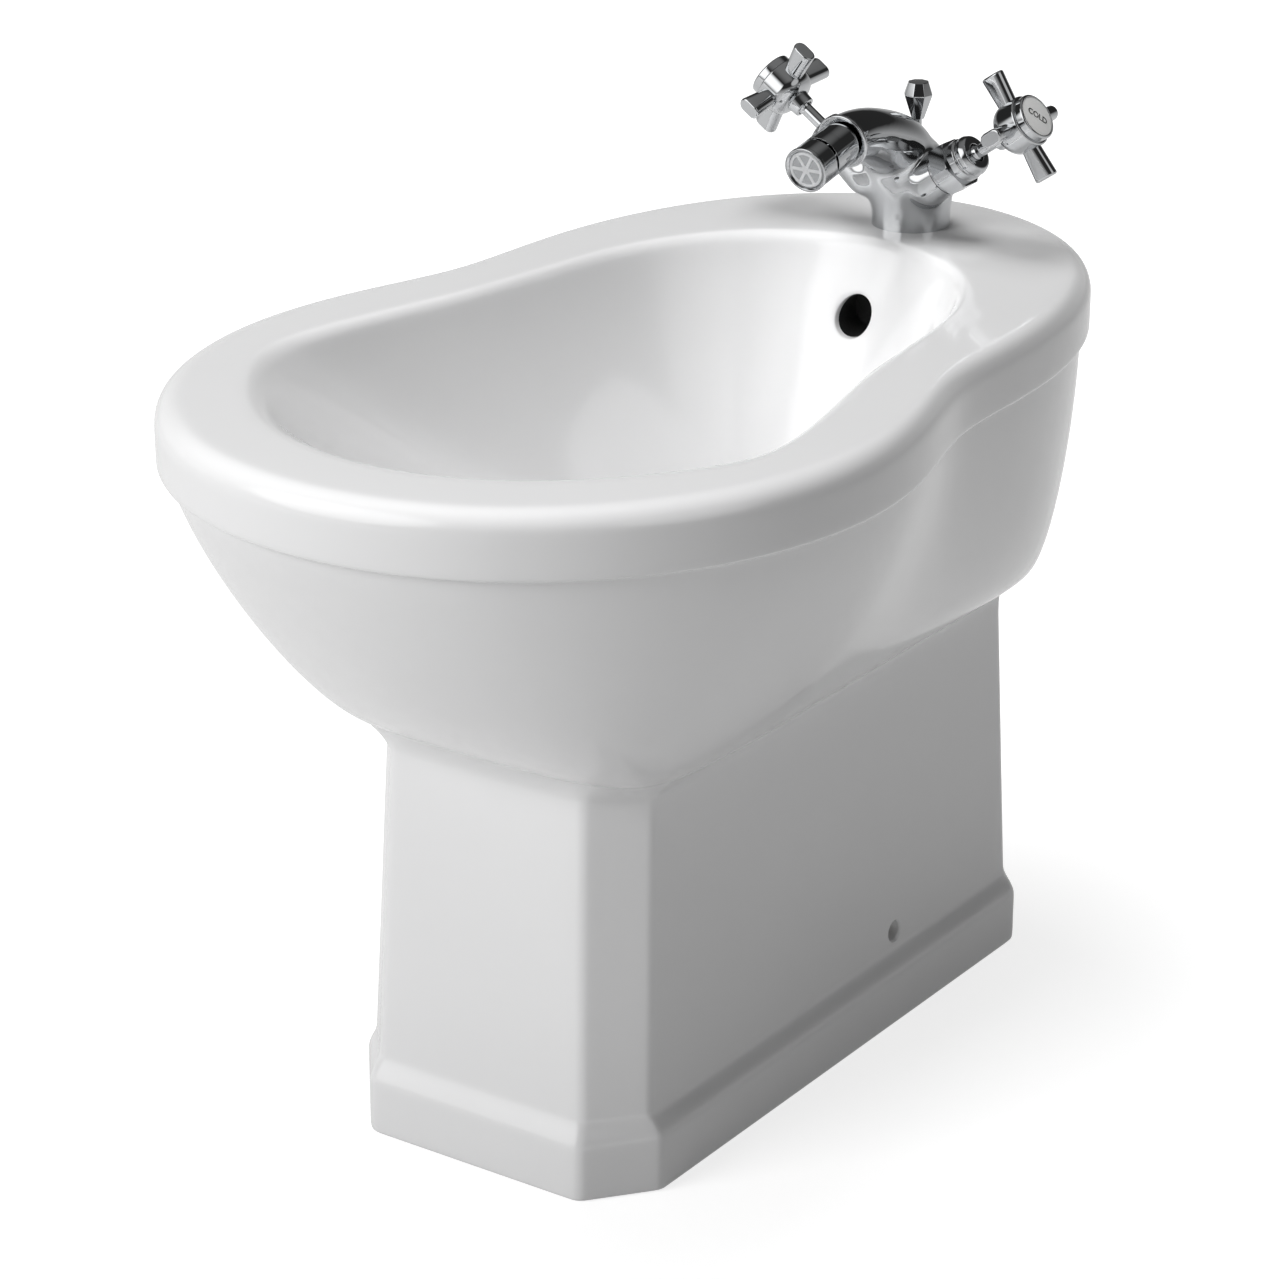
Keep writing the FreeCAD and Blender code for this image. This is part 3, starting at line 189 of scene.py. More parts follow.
def next_ring(bm, ring, points, finish=0):
    """Extrude a closed ring of vertices and move the new ring onto these points."""
    edges = [bm.edges.get((ring[i - 1], ring[i])) for i in range(len(ring))]
    grown = bmesh.ops.extrude_edge_only(bm, edges=edges)["geom"]
    fresh = {item for item in grown if isinstance(item, bmesh.types.BMVert)}
    for item in grown:
        if isinstance(item, bmesh.types.BMFace):
            item.material_index = finish
    following = []
    for vert, point in zip(ring, points):
        moved = next(e.other_vert(vert) for e in vert.link_edges if e.other_vert(vert) in fresh)
        moved.co = point
        following.append(moved)
    return following


def first_ring(bm, points):
    ring = bmesh.ops.create_circle(bm, segments=len(points), radius=1)["verts"]
    for vert, point in zip(ring, points):
        vert.co = point
    return ring


def cap(bm, ring, finish=0):
    bmesh.ops.contextual_create(bm, geom=ring, mat_nr=finish)


def lofted(bm, rings):
    """A closed skin through a row of rings, with both ends capped."""
    ring = first_ring(bm, rings[0])
    cap(bm, ring)
    for points in rings[1:]:
        ring = next_ring(bm, ring, points)
    cap(bm, ring)


def turns(first, last, steps):
    return [first + (last - first) * step / steps for step in range(steps + 1)]


def at(spot, angle=0, axis="X"):
    """A place in the part: a spot, and a turn in degrees about one axis."""
    return Matrix.Translation(spot) @ Matrix.Rotation(math.radians(angle), 4, axis)


def tidy(bm, gap=1e-4):
    bmesh.ops.remove_doubles(bm, verts=bm.verts, dist=gap)
    bmesh.ops.recalc_face_normals(bm, faces=bm.faces)


# PAINTED_SHADE marks faces coloured near black as painted shade deep inside the overflow passage.
GLAZED, RAW, PAINTED_SHADE = 0, 1, 2
band_foot = rim_top - rim_band
levels = []


def lay(side, height, finish=GLAZED):
    levels.append((side, height, finish))


for angle in turns(0, 90, 3):
    drop, draw = dish(angle, 1)
    lay(chamfered(*plinth, grow=-foot_edge * (1 - drop)), foot_edge * draw)
for height in plinth_rows:
    lay(chamfered(*plinth), height)
for step in turns(0, 1, 10):
    share = (1 - math.cos(math.pi * step)) / 2
    outline = [a + share * (b - a) for a, b in zip(plinth, foot)]
    lay(chamfered(*outline), plinth_band + (foot_height - plinth_band) * step)
for step in turns(0, 1, 9)[1:]:
    outline = [a + step * (b - a) for a, b in zip(foot, stem)]
    lay(chamfered(*outline), foot_height + (stem_height - foot_height) * step)
for angle in turns(0, 90, 7)[1:]:
    rise, out = dish(angle, 1)
    collar = between(chamfered(*stem, grow=cove_out * out), neck_oval(0), out ** cove_ease)
    lay(collar, stem_height + (neck_height - stem_height) * rise)
for angle in turns(90, 0, 20)[1:]:
    side, drop = belly(angle, rim(band_set_in), neck_oval(0))
    lay(side, band_foot - drop * (band_foot - neck_height))
for angle in turns(0, 90, 4):
    out, climb = dish(angle, 1)
    lay(rim(band_round * (1 - out)), band_foot + band_round * climb)
lay(rim(0), band_foot + rim_band / 2)
for angle in turns(0, 90, 7):
    climb, draw = dish(angle, 1)
    lay(rim(rim_round * draw), rim_top - rim_round * (1 - climb))
lip_edge = basin(rim_top, lip_round)
for share in (0.15, 0.5, 0.85):
    lay(between(rim(rim_round), lip_edge, share), rim_top)
for angle in turns(90, 0, 5):
    climb, draw = dish(angle, 1)
    height = rim_top - lip_round * (1 - climb)
    lay(basin(height, lip_round * draw), height)
basin_rows = []
height = rim_top - lip_round - row_step
while height > overflow_height - 4.5 * row_step:
    basin_rows.append(len(levels))
    lay(basin(height), height)
    height -= row_step
start = math.degrees(math.asin(((rim_top - height) / (rim_top - floor_height)) ** (1 / basin_power)))
for angle in turns(start, 90, 12):
    height = rim_top - dish(angle, basin_power)[0] * (rim_top - floor_height)
    lay(basin(height), height)
hole_edge, hole_middle = waste_hole + hole_round, (floor_height + floor_under) / 2
for radius, height, finish in (
        (30, floor_height, GLAZED), (26, floor_height, GLAZED),
        (hole_edge, floor_height - hole_sink, GLAZED), (waste_hole, floor_height - 1, GLAZED),
        (waste_hole, hole_middle, RAW), (waste_hole, floor_under + 1, RAW), (hole_edge, floor_under, RAW),
        (32, floor_under, RAW), (48, floor_under, RAW)):
    lay(drain(radius), height, finish)
inner_rows = []
inner_heights = [rim_top - dish(angle, basin_power)[0] * (rim_top - floor_under)
                 for angle in turns(90, 45, 6)]
inner_heights += [overflow_height + step * boss_step for step in range(-3, 3)] + [rim_top - ledge_thick]
for height in inner_heights:
    inner_rows.append(len(levels))
    lay(basin(height, china_wall, floor_under, floor_under_radius), height, RAW)
hollow_edge = rim(band_set_in + china_wall)
lay(between(levels[-1][0], hollow_edge, 0.5), rim_top - ledge_thick, RAW)
lay(hollow_edge, rim_top - ledge_thick, RAW)
for angle in turns(0, 90, 9):
    side, drop = belly(angle, hollow_edge, neck_oval(china_wall))
    lay(side, band_foot - drop * (band_foot - neck_height - china_wall), RAW)
for outline, grow, height in ((stem, cove_out, neck_height + hollow_drop / 2),
                              (stem, 0, stem_height - hollow_drop), (foot, 0, foot_height),
                              (plinth, 0, plinth_band - hollow_drop), (plinth, 0, 1), (plinth, 0, 0)):
    lay(chamfered(*outline, grow=grow - china_wall), height, RAW)

pan_mesh = bmesh.new()
grid = [first_ring(pan_mesh, ring_of(*levels[0][:2]))]
for side, height, finish in levels[1:] + levels[:1]:
    grid.append(next_ring(pan_mesh, grid[-1], ring_of(side, height), finish))


def round_port(rows, radius, reach, toward, steps):
    """Open the faces round the overflow's axis into a round hole, and grow its wall ring by ring.

    Each step is a radius, a depth from the opening or a fixed place along the axis, and a finish.
    """
    middle = min(rows, key=lambda row: abs(levels[row][1] - overflow_height))
    window = [[grid[row][column] for column in range(-2, 3)] for row in range(middle - 2, middle + 3)]
    ring = (window[0] + [row[-1] for row in window[1:]] + window[-1][-2::-1]
            + [row[0] for row in window[-2:0:-1]])
    inside = {vert for row in window for vert in row}
    faces = [face for face in pan_mesh.faces if all(vert in inside for vert in face.verts)]
    bmesh.ops.delete(pan_mesh, geom=faces, context="FACES")
    spots = []
    first_turn = 135 if toward > 0 else 225
    for index, vert in enumerate(ring):
        turn = math.radians(first_turn - toward * 360 * index / len(ring))
        spot = Vector((radius * math.cos(turn), reach, overflow_height + radius * math.sin(turn)))
        vert.co = skin.ray_cast(spot, Vector((0, toward, 0)))[0]
        spots.append((vert.co.y, turn))
    for radius, depth, end, finish in steps:
        points = [Vector((radius * math.cos(turn), end or y + depth,
                          overflow_height + radius * math.sin(turn))) for y, turn in spots]
        ring = next_ring(pan_mesh, ring, points, finish)
    cap(pan_mesh, ring, finish)


skin = BVHTree.FromBMesh(pan_mesh)
boss_radius, boss_end, lip_step = overflow_radius + boss_wall, overflow_end + boss_wall, overflow_lip * 0.3
# The overflow's deeper rings take the painted shade finish: near black, standing in for the shadow inside
# the passage.
round_port(basin_rows, overflow_radius + overflow_lip, bowl_side, 1, (
    (overflow_radius + lip_step, lip_step, None, GLAZED), (overflow_radius, overflow_lip, None, GLAZED),
    (overflow_radius, overflow_glazed, None, GLAZED), (overflow_radius, overflow_painted_shade, None, PAINTED_SHADE),
    (overflow_radius, 0, overflow_end - 1, PAINTED_SHADE), (overflow_radius - 1, 0, overflow_end, PAINTED_SHADE)))
round_port(inner_rows, boss_radius + 1, wall_side, -1, (
    (boss_radius, 1, None, RAW), (boss_radius, 0, boss_end - 2, RAW), (boss_radius - 2, 0, boss_end, RAW)))
tidy(pan_mesh)


def wire(links, *joins):
    """Join shader nodes: each join goes from a node's output to another node's input."""
    for source, out, target, into in joins:
        links.new(source.outputs[out], target.inputs[into])


def dial(node, **values):
    """Set a shader node's sockets, named here with underscores for spaces."""
    for socket, value in values.items():
        node.inputs[socket.replace("_", " ")].default_value = value


def surface_group():
    """A node group that drifts a colour and a roughness over a surface and adds a fine grain."""
    group = bpy.data.node_groups.new("surface_drift", "ShaderNodeTree")
    for side, kind, names in (("INPUT", "Color", ("Dark", "Light")),
                              ("INPUT", "Float", ("Patch Scale", "Grain Scale", "Smooth", "Rough")),
                              ("OUTPUT", "Color", ("Color",)), ("OUTPUT", "Float", ("Roughness", "Grain"))):
        for name in names:
            group.interface.new_socket(name, in_out=side, socket_type="NodeSocket" + kind)
    nodes, links = group.nodes, group.links
    given, out = nodes.new("NodeGroupInput"), nodes.new("NodeGroupOutput")
    place = nodes.new("ShaderNodeTexCoord")
    patch, grain = nodes.new("ShaderNodeTexNoise"), nodes.new("ShaderNodeTexNoise")
    dial(patch, Detail=3)
    dial(grain, Detail=5)
    tone, rough = nodes.new("ShaderNodeMix"), nodes.new("ShaderNodeMapRange")
    tone.data_type = "RGBA"
    wire(links, (place, "Object", patch, "Vector"), (given, "Patch Scale", patch, "Scale"),
         (place, "Object", grain, "Vector"), (given, "Grain Scale", grain, "Scale"),
         (patch, "Fac", tone, "Factor"), (given, "Dark", tone, "A"), (given, "Light", tone, "B"),
         (grain, "Fac", rough, "Value"), (given, "Smooth", rough, "To Min"),
         (given, "Rough", rough, "To Max"), (tone, "Result", out, "Color"),
         (rough, "Result", out, "Roughness"), (grain, "Fac", out, "Grain"))
    return group


drift = surface_group()


def finish_of(name, dark, light, smooth, rough, patch, grain, bump, **settings):
    """A finish whose tone, gloss and grain vary; the other settings are the shader's own sockets."""
    material = bpy.data.materials.new(name)
    material.use_nodes = True
    nodes, links = material.node_tree.nodes, material.node_tree.links
    shader = nodes["Principled BSDF"]
    surface = nodes.new("ShaderNodeGroup")
    surface.node_tree = drift
    dial(surface, Dark=(*dark, 1), Light=(*light, 1), Patch_Scale=patch, Grain_Scale=grain, Smooth=smooth,
         Rough=rough)
    relief = nodes.new("ShaderNodeBump")
    dial(relief, Strength=1, Distance=bump)
    wire(links, (surface, "Color", shader, "Base Color"), (surface, "Roughness", shader, "Roughness"),
         (surface, "Grain", relief, "Height"), (relief, "Normal", shader, "Normal"))
    dial(shader, **settings)
    return material


glaze = finish_of("white_glaze", (0.80, 0.80, 0.805), (0.84, 0.84, 0.842), 0.10, 0.16, 9, 140, 0.000012,
                  Coat_Weight=0.5, Coat_Roughness=0.04, IOR=1.52)
biscuit = finish_of("raw_china", (0.62, 0.60, 0.57), (0.72, 0.70, 0.67), 0.65, 0.9, 14, 900, 0.00006)
# Painted shade: a near-black colour on the overflow passage's walls that stands in for the shadow inside it.
painted_passage_shade = finish_of("painted_shade_passage", (0.004, 0.004, 0.004), (0.009, 0.009, 0.009), 0.7, 0.95, 60, 700,
                    0.00005)


def put(name, data):
    thing = bpy.data.objects.new(name, data)
    bpy.context.scene.collection.objects.link(thing)
    return thing


def object_of(bm, name):
    """Bring a mesh from millimetres to metres, as an object in the scene."""
    bmesh.ops.scale(bm, vec=(MM, MM, MM), verts=bm.verts)
    mesh = bpy.data.meshes.new(name)
    bm.to_mesh(mesh)
    bm.free()
    return put(name, mesh)


def make_piece(bm, name, body, slot, *finishes, replaces=(), crease=40):
    """Hang a mesh on its body in place of its CAD nodes."""
    piece = object_of(bm, name)
    for finish in finishes:
        piece.data.materials.append(finish)
    piece.data.shade_smooth()
    piece.data.set_sharp_from_angle(angle=math.radians(crease))
    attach(piece, body)
    if replaces:
        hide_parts(*replaces)
    return piece


def settle(piece, *cutters, crease=40):
    """Keep the mesh that a piece's modifiers make, and take away what it was cut with."""
    mesh = bpy.data.meshes.new_from_object(piece.evaluated_get(bpy.context.evaluated_depsgraph_get()))
    piece.modifiers.clear()
    piece.data = mesh
    mesh.shade_smooth()
    mesh.set_sharp_from_angle(angle=math.radians(crease))
    for cutter in cutters:
        bpy.data.objects.remove(cutter)


def cutter_of(bm, piece, operation="DIFFERENCE"):
    """Let a mesh cut a piece, or join it, when the piece is settled."""
    bmesh.ops.recalc_face_normals(bm, faces=bm.faces)
    cutter = object_of(bm, "cutter")
    step = piece.modifiers.new("cut", "BOOLEAN")
    step.operation = operation
    step.solver = "MANIFOLD"
    step.object = cutter
    return cutter


def rounded_path(corners, steps=4):
    """An open path through corners (across, up, round), with each round drawn as an arc."""
    points = []
    for index, (across, up, reach) in enumerate(corners):
        here = Vector((across, up))
        if not reach:
            points.append(here)
            continue
        before = (Vector(corners[index - 1][:2]) - here).normalized()
        after = (Vector(corners[(index + 1) % len(corners)][:2]) - here).normalized()
        bend = math.pi - before.angle(after)
        points += [eased(here + before * reach, here, here + after * reach, bend, t)
                   for t in turns(0, 1, steps)]
    return points


def turned(bm, corners, place=Matrix(), steps=64):
    """Turn a path of (radius, height, round) about Z, and set the shape in its place."""
    path = rounded_path(corners)
    verts = [bm.verts.new((p.x, 0, p.y)) for p in path]
    edges = [bm.edges.new(pair) for pair in zip(verts, verts[1:] + verts[:1])]
    bmesh.ops.spin(bm, geom=verts + edges, cent=(0, 0, 0), axis=(0, 0, 1), angle=math.tau, steps=steps,
                   use_merge=True)
    fresh = set(verts)
    frontier = list(verts)
    while frontier:
        vert = frontier.pop()
        for edge in vert.link_edges:
            other = edge.other_vert(vert)
            if other not in fresh:
                fresh.add(other)
                frontier.append(other)
    bmesh.ops.transform(bm, matrix=place, verts=list(fresh))


def lathed(corners, place=Matrix(), steps=96):
    bm = bmesh.new()
    turned(bm, corners, place, steps)
    tidy(bm)
    return bm


def tube(bore, radius, low, high, low_round=0, high_round=0):
    """A plain profile to turn; with a bore of 0 it is solid."""
    return [(bore, low, 0), (radius, low, low_round), (radius, high, high_round), (bore, high, 0)]


pan = make_piece(pan_mesh, "china_pan", "pan", "china", glaze, biscuit, painted_passage_shade, replaces=("ceramic_pan",))
smoothing = pan.modifiers.new("smooth", "SUBSURF")
smoothing.levels = smoothing.render_levels = 1
gate_half, gate_low, gate_high, gate_start, gate_end = 62, -5, 250, 195, 305
gate = bmesh.new()
arch = [Vector((gate_half * math.cos(turn), gate_start, gate_high + gate_half * math.sin(turn)))
        for turn in turns(0, math.pi, 24)]
arch += [Vector((side * gate_half, gate_start, gate_low)) for side in (-1, 1)]
lofted(gate, [arch, [point + Vector((0, gate_end - gate_start, 0)) for point in arch]])
side_hole_back, side_hole_height, side_hole_radius, side_wall, side_flare = 92, 51.5, 5.5, 85.4, 3
hole_end, hole_flare = side_wall + side_flare, side_hole_radius + side_flare
fixing_holes = bmesh.new()
turned(fixing_holes, [(0, -hole_end, 0), (hole_flare, -hole_end, 0), (side_hole_radius, -side_wall, 0),
                      (side_hole_radius, side_wall, 0), (hole_flare, hole_end, 0), (0, hole_end, 0)],
       at((0, side_hole_back, side_hole_height), 90, "Y"), 32)
tap_low, tap_high = (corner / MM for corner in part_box("tap_base_seal"))
tap_back = (tap_low.y + tap_high.y) / 2
hole_low, hole_high, tap_hole_radius = rim_top - 30, rim_top + 5, 17.5
tap_hole = bmesh.new()
turned(tap_hole, tube(0, tap_hole_radius, hole_low, hole_high), at((0, tap_back, 0)))
settle(pan, *[cutter_of(bm, pan) for bm in (gate, fixing_holes, tap_hole)])

# Tap body: a brass casting, polished and chromed, that stands on the ledge over a rubber ring.
# Its round column leans forward and narrows into the spout, and a cone on each side takes a valve.
# The forms are melted together like a casting, then the foot, mouth, valve seats and rod hole are machined.
SPOUT_SHARES = [(0, 0, 0, 0), (0, 0.2, 0.12, 0), (0.08, 0.5, 0.25, 0.245), (0.24, 0.765, 0.5, 0.49),
                (0.575, 0.935, 0.78, 0.706), (0.82, 1.0, 0.94, 0.882), (1, 1, 1, 1)]
# The column's flare under the arms: rise, half width, half depth and shift forward.
FLARE_ROWS = [(-6, 21.2, 21.2, 0), (4, 21.4, 21.4, 0), (10, 22, 21.6, 0.4), (16, 23.6, 22.2, 1.4),
              (22, 25.8, 23, 3), (28, 27.4, 23.6, 5), (34, 26.8, 23.4, 7), (40, 23.5, 20.5, 6.8),
              (46, 16.5, 13.5, 3.4), (50, 8, 6.5, -0.5)]
spout_reach, spout_rise, spout_droop = 73, 61, 12
column_radius, mouth_radius, mouth_recess, recess_depth = 21.8, 14.4, 13.6, 4
arm_start, arm_root, arm_end, arm_reach = 14, 14.4, 13, 34
valve_forward, valve_rise, valve_lean = 14, 16, 55
casting_spare, casting_grain, casting_melts = 9, 0.8, 150
bead_radius, bead_wide = 15.1, 2.4
rod_radius, rod_gap = 2.3, 0.35
tap_foot = Vector((0, tap_back, rim_top))
mouth = tap_foot + Vector((0, -spout_reach, spout_rise))
mouth_place = at(mouth, 90 + spout_droop)
knob_low, knob_high = (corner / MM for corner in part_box("lift_knob"))
rod_back = (knob_low.y + knob_high.y) / 2

chrome = finish_of("polished_chrome", (0.53, 0.54, 0.55), (0.60, 0.61, 0.62), 0.025, 0.06, 30, 260, 0.000002,
                   Metallic=1.0)
zinc = finish_of("bright_zinc", (0.50, 0.51, 0.54), (0.66, 0.67, 0.70), 0.22, 0.4, 45, 600, 0.00001,
                 Metallic=1.0)
rubber = finish_of("black_rubber", (0.012, 0.012, 0.013), (0.03, 0.03, 0.032), 0.5, 0.8, 40, 900, 0.00002)


def valve_place(side, spin=0.0):
    """A valve's own frame: its axis leans out to one side from where the two axes meet."""
    start = tap_foot + Vector((0, -valve_forward, valve_rise))
    return at(start, side * valve_lean, "Y") @ Matrix.Rotation(math.radians(spin), 4, "Z")


def spout_row(share):
    """Reach, rise, narrowing and lean at a share of the way along the spout."""
    rows = [Vector(row) for row in SPOUT_SHARES]
    last = len(rows) - 1
    span = min(int(share * last), last - 1)
    t = share * last - span
    a, b, c, d = (rows[min(max(span + step, 0), last)] for step in (-1, 0, 1, 2))
    return b + t * (c - a + t * (2 * a - 5 * b + 4 * c - d + t * (3 * b - a - 3 * c + d))) / 2


def hoop(radius, place, count=64):
    return [place @ Vector((radius * math.cos(turn), radius * math.sin(turn), 0))
            for turn in turns(0, math.tau, count)[:-1]]


casting = bmesh.new()
rings = [hoop(column_radius, at(tap_foot - Vector((0, 0, casting_spare))))]
for share in turns(0, 1, 36):
    reach, rise, narrowing, lean = spout_row(share)
    place = at(tap_foot + Vector((0, -reach * spout_reach, rise * spout_rise)), lean * (90 + spout_droop))
    rings.append(hoop(column_radius + narrowing * (mouth_radius - column_radius), place))
rings.append(hoop(mouth_radius, mouth_place @ at((0, 0, casting_spare))))
lofted(casting, rings)
lofted(casting, [[tap_foot + Vector((wide * math.cos(turn), deep * math.sin(turn) - forward, rise))
                  for turn in turns(0, math.tau, 64)[:-1]] for rise, wide, deep, forward in FLARE_ROWS])
for side in (-1, 1):
    turned(casting, [(0, arm_start, 0), (arm_root * 0.8, arm_start, 0), (arm_root, arm_start * 1.5, 0),
                     (arm_end, arm_reach, 0), (arm_end, arm_reach + casting_spare, 0),
                     (0, arm_reach + casting_spare, 0)], valve_place(side))
tidy(casting)
tap = make_piece(casting, "tap_casting", "pan", "chrome", chrome, replaces=("tap_body",))
melt = tap.modifiers.new("melt", "REMESH")
melt.mode = "VOXEL"
melt.voxel_size = casting_grain * MM
polish = tap.modifiers.new("polish", "SMOOTH")
polish.iterations = casting_melts


def bar(radius, low, high, place, steps=64):
    """A plain round bar to machine a hole or an end with."""
    return lathed(tube(0, radius, low, high), place, steps)


def block(size, soft, place, segments=2):
    """A block with softened edges."""
    bm = bmesh.new()
    bmesh.ops.create_cube(bm, size=1)
    bmesh.ops.scale(bm, vec=size, verts=bm.verts)
    bmesh.ops.bevel(bm, geom=bm.edges[:], offset=soft, affect="EDGES", segments=segments, profile=0.5,
                    material=-1)
    bmesh.ops.transform(bm, matrix=place, verts=bm.verts)
    return bm


bead = bmesh.new()
turned(bead, tube(mouth_recess - 1, bead_radius, -bead_wide, 0, 0.9, 0.9), mouth_place, 96)
rod_place = at((0, rod_back, 0))
cut_past = casting_spare * 3
machined = [bar(column_radius * 2, rim_top - cut_past, rim_top, at((0, tap_back, 0))),
            bar(mouth_radius * 1.5, 0, cut_past, mouth_place)]
machined += [bar(arm_root + 2, arm_reach, arm_reach + cut_past, valve_place(side)) for side in (-1, 1)]
cutters = [cutter_of(bm, tap) for bm in machined] + [cutter_of(bead, tap, "UNION")]
cutters.append(cutter_of(bar(mouth_recess, -recess_depth, casting_spare, mouth_place, 96), tap))
cutters.append(cutter_of(bar(rod_radius + rod_gap, rim_top - casting_spare, rim_top + spout_rise * 2,
                             rod_place, 32), tap))
settle(tap, *cutters, crease=34)

# Clamp under the ledge: a zinc-plated stud screwed into the tap, with a nut under a steel horseshoe
# and a rubber one, which pulls the tap down onto its rubber ring.


def true_faces(piece):
    """Let the large faces of a piece keep their own direction where they meet its rounded edges."""
    weighting = piece.modifiers.new("true_faces", "WEIGHTED_NORMAL")
    weighting.keep_sharp = True


def turned_piece(corners, name, body, slot, finish, place=Matrix(), replaces=(), steps=96):
    """A piece that is turned on a lathe from one profile."""
    true_faces(make_piece(lathed(corners, place, steps), name, body, slot, finish, replaces=replaces))


def hexagon_piece(corner_radius, low, high, chamfer, bore, name, slot, finish, place, replaces):
    """A hexagon bar end with turned chamfers and a bore."""
    bm = bmesh.new()
    bmesh.ops.create_cone(bm, cap_ends=True, segments=6, radius1=corner_radius, radius2=corner_radius,
                          depth=high - low, matrix=place @ at((0, 0, (low + high) / 2)))
    tidy(bm)
    piece = make_piece(bm, name, "pan", slot, finish, replaces=replaces, crease=20)
    slope, past = math.tan(math.radians(30)), 1
    inner, outer = corner_radius - chamfer - past / slope, corner_radius + past
    drop = (chamfer + past) * slope
    lathe = lathed([(bore, low - past, 0), (inner, low - past, 0), (outer, low + drop, 0),
                    (outer, high - drop, 0), (inner, high + past, 0), (bore, high + past, 0)], place)
    return piece, cutter_of(lathe, piece, "INTERSECT")


stud_low, stud_high = (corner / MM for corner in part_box("fixing_stud"))
stud_radius = (stud_high.x - stud_low.x) / 2
stud_place = at((0, (stud_low.y + stud_high.y) / 2, 0))
thread_pitch, thread_deep, stud_end = 1.25, 0.5, 1.5
nut_corner, nut_chamfer, nut_gap = 7.5, 0.9, 0.05
thread = []
for step in range(int((stud_high.z - stud_low.z - stud_end * 2) / thread_pitch)):
    crest = stud_low.z + stud_end + step * thread_pitch
    thread += [(stud_radius, crest, 0), (stud_radius - thread_deep, crest + thread_pitch / 2, 0)]
turned_piece([(0, stud_low.z, 0), (stud_radius - thread_deep * 2, stud_low.z, 0.4)] + thread
             + [(stud_radius - thread_deep, stud_high.z, 0.3), (0, stud_high.z, 0)],
             "clamp_stud", "pan", "steel", zinc, stud_place, ("fixing_stud",), 48)
nut_low, nut_high = (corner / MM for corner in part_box("fixing_nut"))
nut, nut_lathe = hexagon_piece(nut_corner, nut_low.z, nut_high.z, nut_chamfer, stud_radius + nut_gap,
                               "clamp_nut", "steel", zinc, stud_place, ("fixing_nut",))
settle(nut, nut_lathe, crease=20)

# Swivel nozzle: a chromed barrel screwed into the mouth holds a hollow ball on a stem, and the front
# shell turns and tilts on that ball. A pale plastic star in the shell's lip breaks up the water.
barrel, barrel_step, step_low, step_high, barrel_front = 12.0, 12.2, 12.6, 13.2, 22
thread_radius, thread_low, nozzle_bore = 11.5, -14, 6.9
ball_ahead, hollow_radius, hollow_mouth = 27.3, 13.03, 11.9
hollow = []
for turn in turns(math.asin(hollow_mouth / hollow_radius), math.asin(nozzle_bore / hollow_radius), 8):
    hollow.append((hollow_radius * math.sin(turn), ball_ahead - hollow_radius * math.cos(turn), 0))
turned_piece([(nozzle_bore, thread_low, 0), (thread_radius, thread_low, 0.5),
              (thread_radius, -recess_depth, 0), (barrel, -recess_depth, 0), (barrel, step_low, 0),
              (barrel_step, step_high, 0), (barrel_step, barrel_front, 0.1)] + hollow,
             "nozzle_barrel", "pan", "chrome", chrome, mouth_place, ("nozzle_housing",))
shell_back, shell_front, shell_bore, shell_floor, seat_bore = 23.3, 36.7, 8.2, 33, 9
lip_out, lip_back, lip_slope, lip_floor, lip_edge_in, lip_in = 12.5, 34.1, 0.4, 35.1, 11.2, 10.1
turned_piece([(shell_bore, shell_back, 0), (barrel_step, shell_back, 1), (barrel_step, lip_back, 0.1),
              (lip_out, lip_back + lip_slope, 0.1), (lip_out, shell_front, 0.6),
              (lip_edge_in, shell_front, 0.2), (lip_in, lip_floor + 0.2, 0), (lip_in, lip_floor, 0),
              (seat_bore, lip_floor, 0), (seat_bore, shell_floor, 0), (shell_bore, shell_floor, 0)],
             "nozzle_front_shell", "nozzle_front", "chrome", chrome, mouth_place, ("nozzle_shell",))
milky = finish_of("milky_plastic", (0.74, 0.75, 0.76), (0.84, 0.85, 0.86), 0.25, 0.42, 60, 500, 0.00002,
                  Transmission_Weight=0.25, IOR=1.46)
white_plastic = finish_of("white_plastic", (0.70, 0.70, 0.69), (0.78, 0.78, 0.77), 0.3, 0.45, 40, 600,
                          0.00001)
star_outer, star_ring, star_core, star_arm, star_back, star_front = 10, 8.3, 2.4, 2, 35.1, 35.9
star = lathed([(star_ring, star_back, 0), (star_outer, star_back, 0), (star_outer, star_front, 0.4),
               (star_ring, star_front, 0.4)], mouth_place, 64)
insert = make_piece(star, "aerator_star", "nozzle_front", "clear_plastic", milky,
                    replaces=("aerator_insert",))
arms = [bar(star_core, star_back + 0.05, star_front, mouth_place, 32),
        bar(star_core * 0.5, star_back + 0.1, star_front + 0.1, mouth_place, 32)]
for step in range(3):
    spot = mouth_place @ at((0, 0, (star_back + star_front) / 2), 60 * step, "Z")
    arms.append(block((star_ring * 2 + 1, star_arm, star_front - star_back - 0.1 * step), 0.3, spot))
settle(insert, *[cutter_of(arm, insert, "UNION") for arm in arms], crease=30)
gauze = finish_of("grey_gauze", (0.30, 0.31, 0.32), (0.46, 0.47, 0.48), 0.3, 0.5, 900, 2400, 0.0001)
turned_piece(tube(0, star_ring + 0.4, star_back + 0.1, star_back + 0.35), "aerator_gauze", "nozzle_front",
             "clear_plastic", gauze, mouth_place)

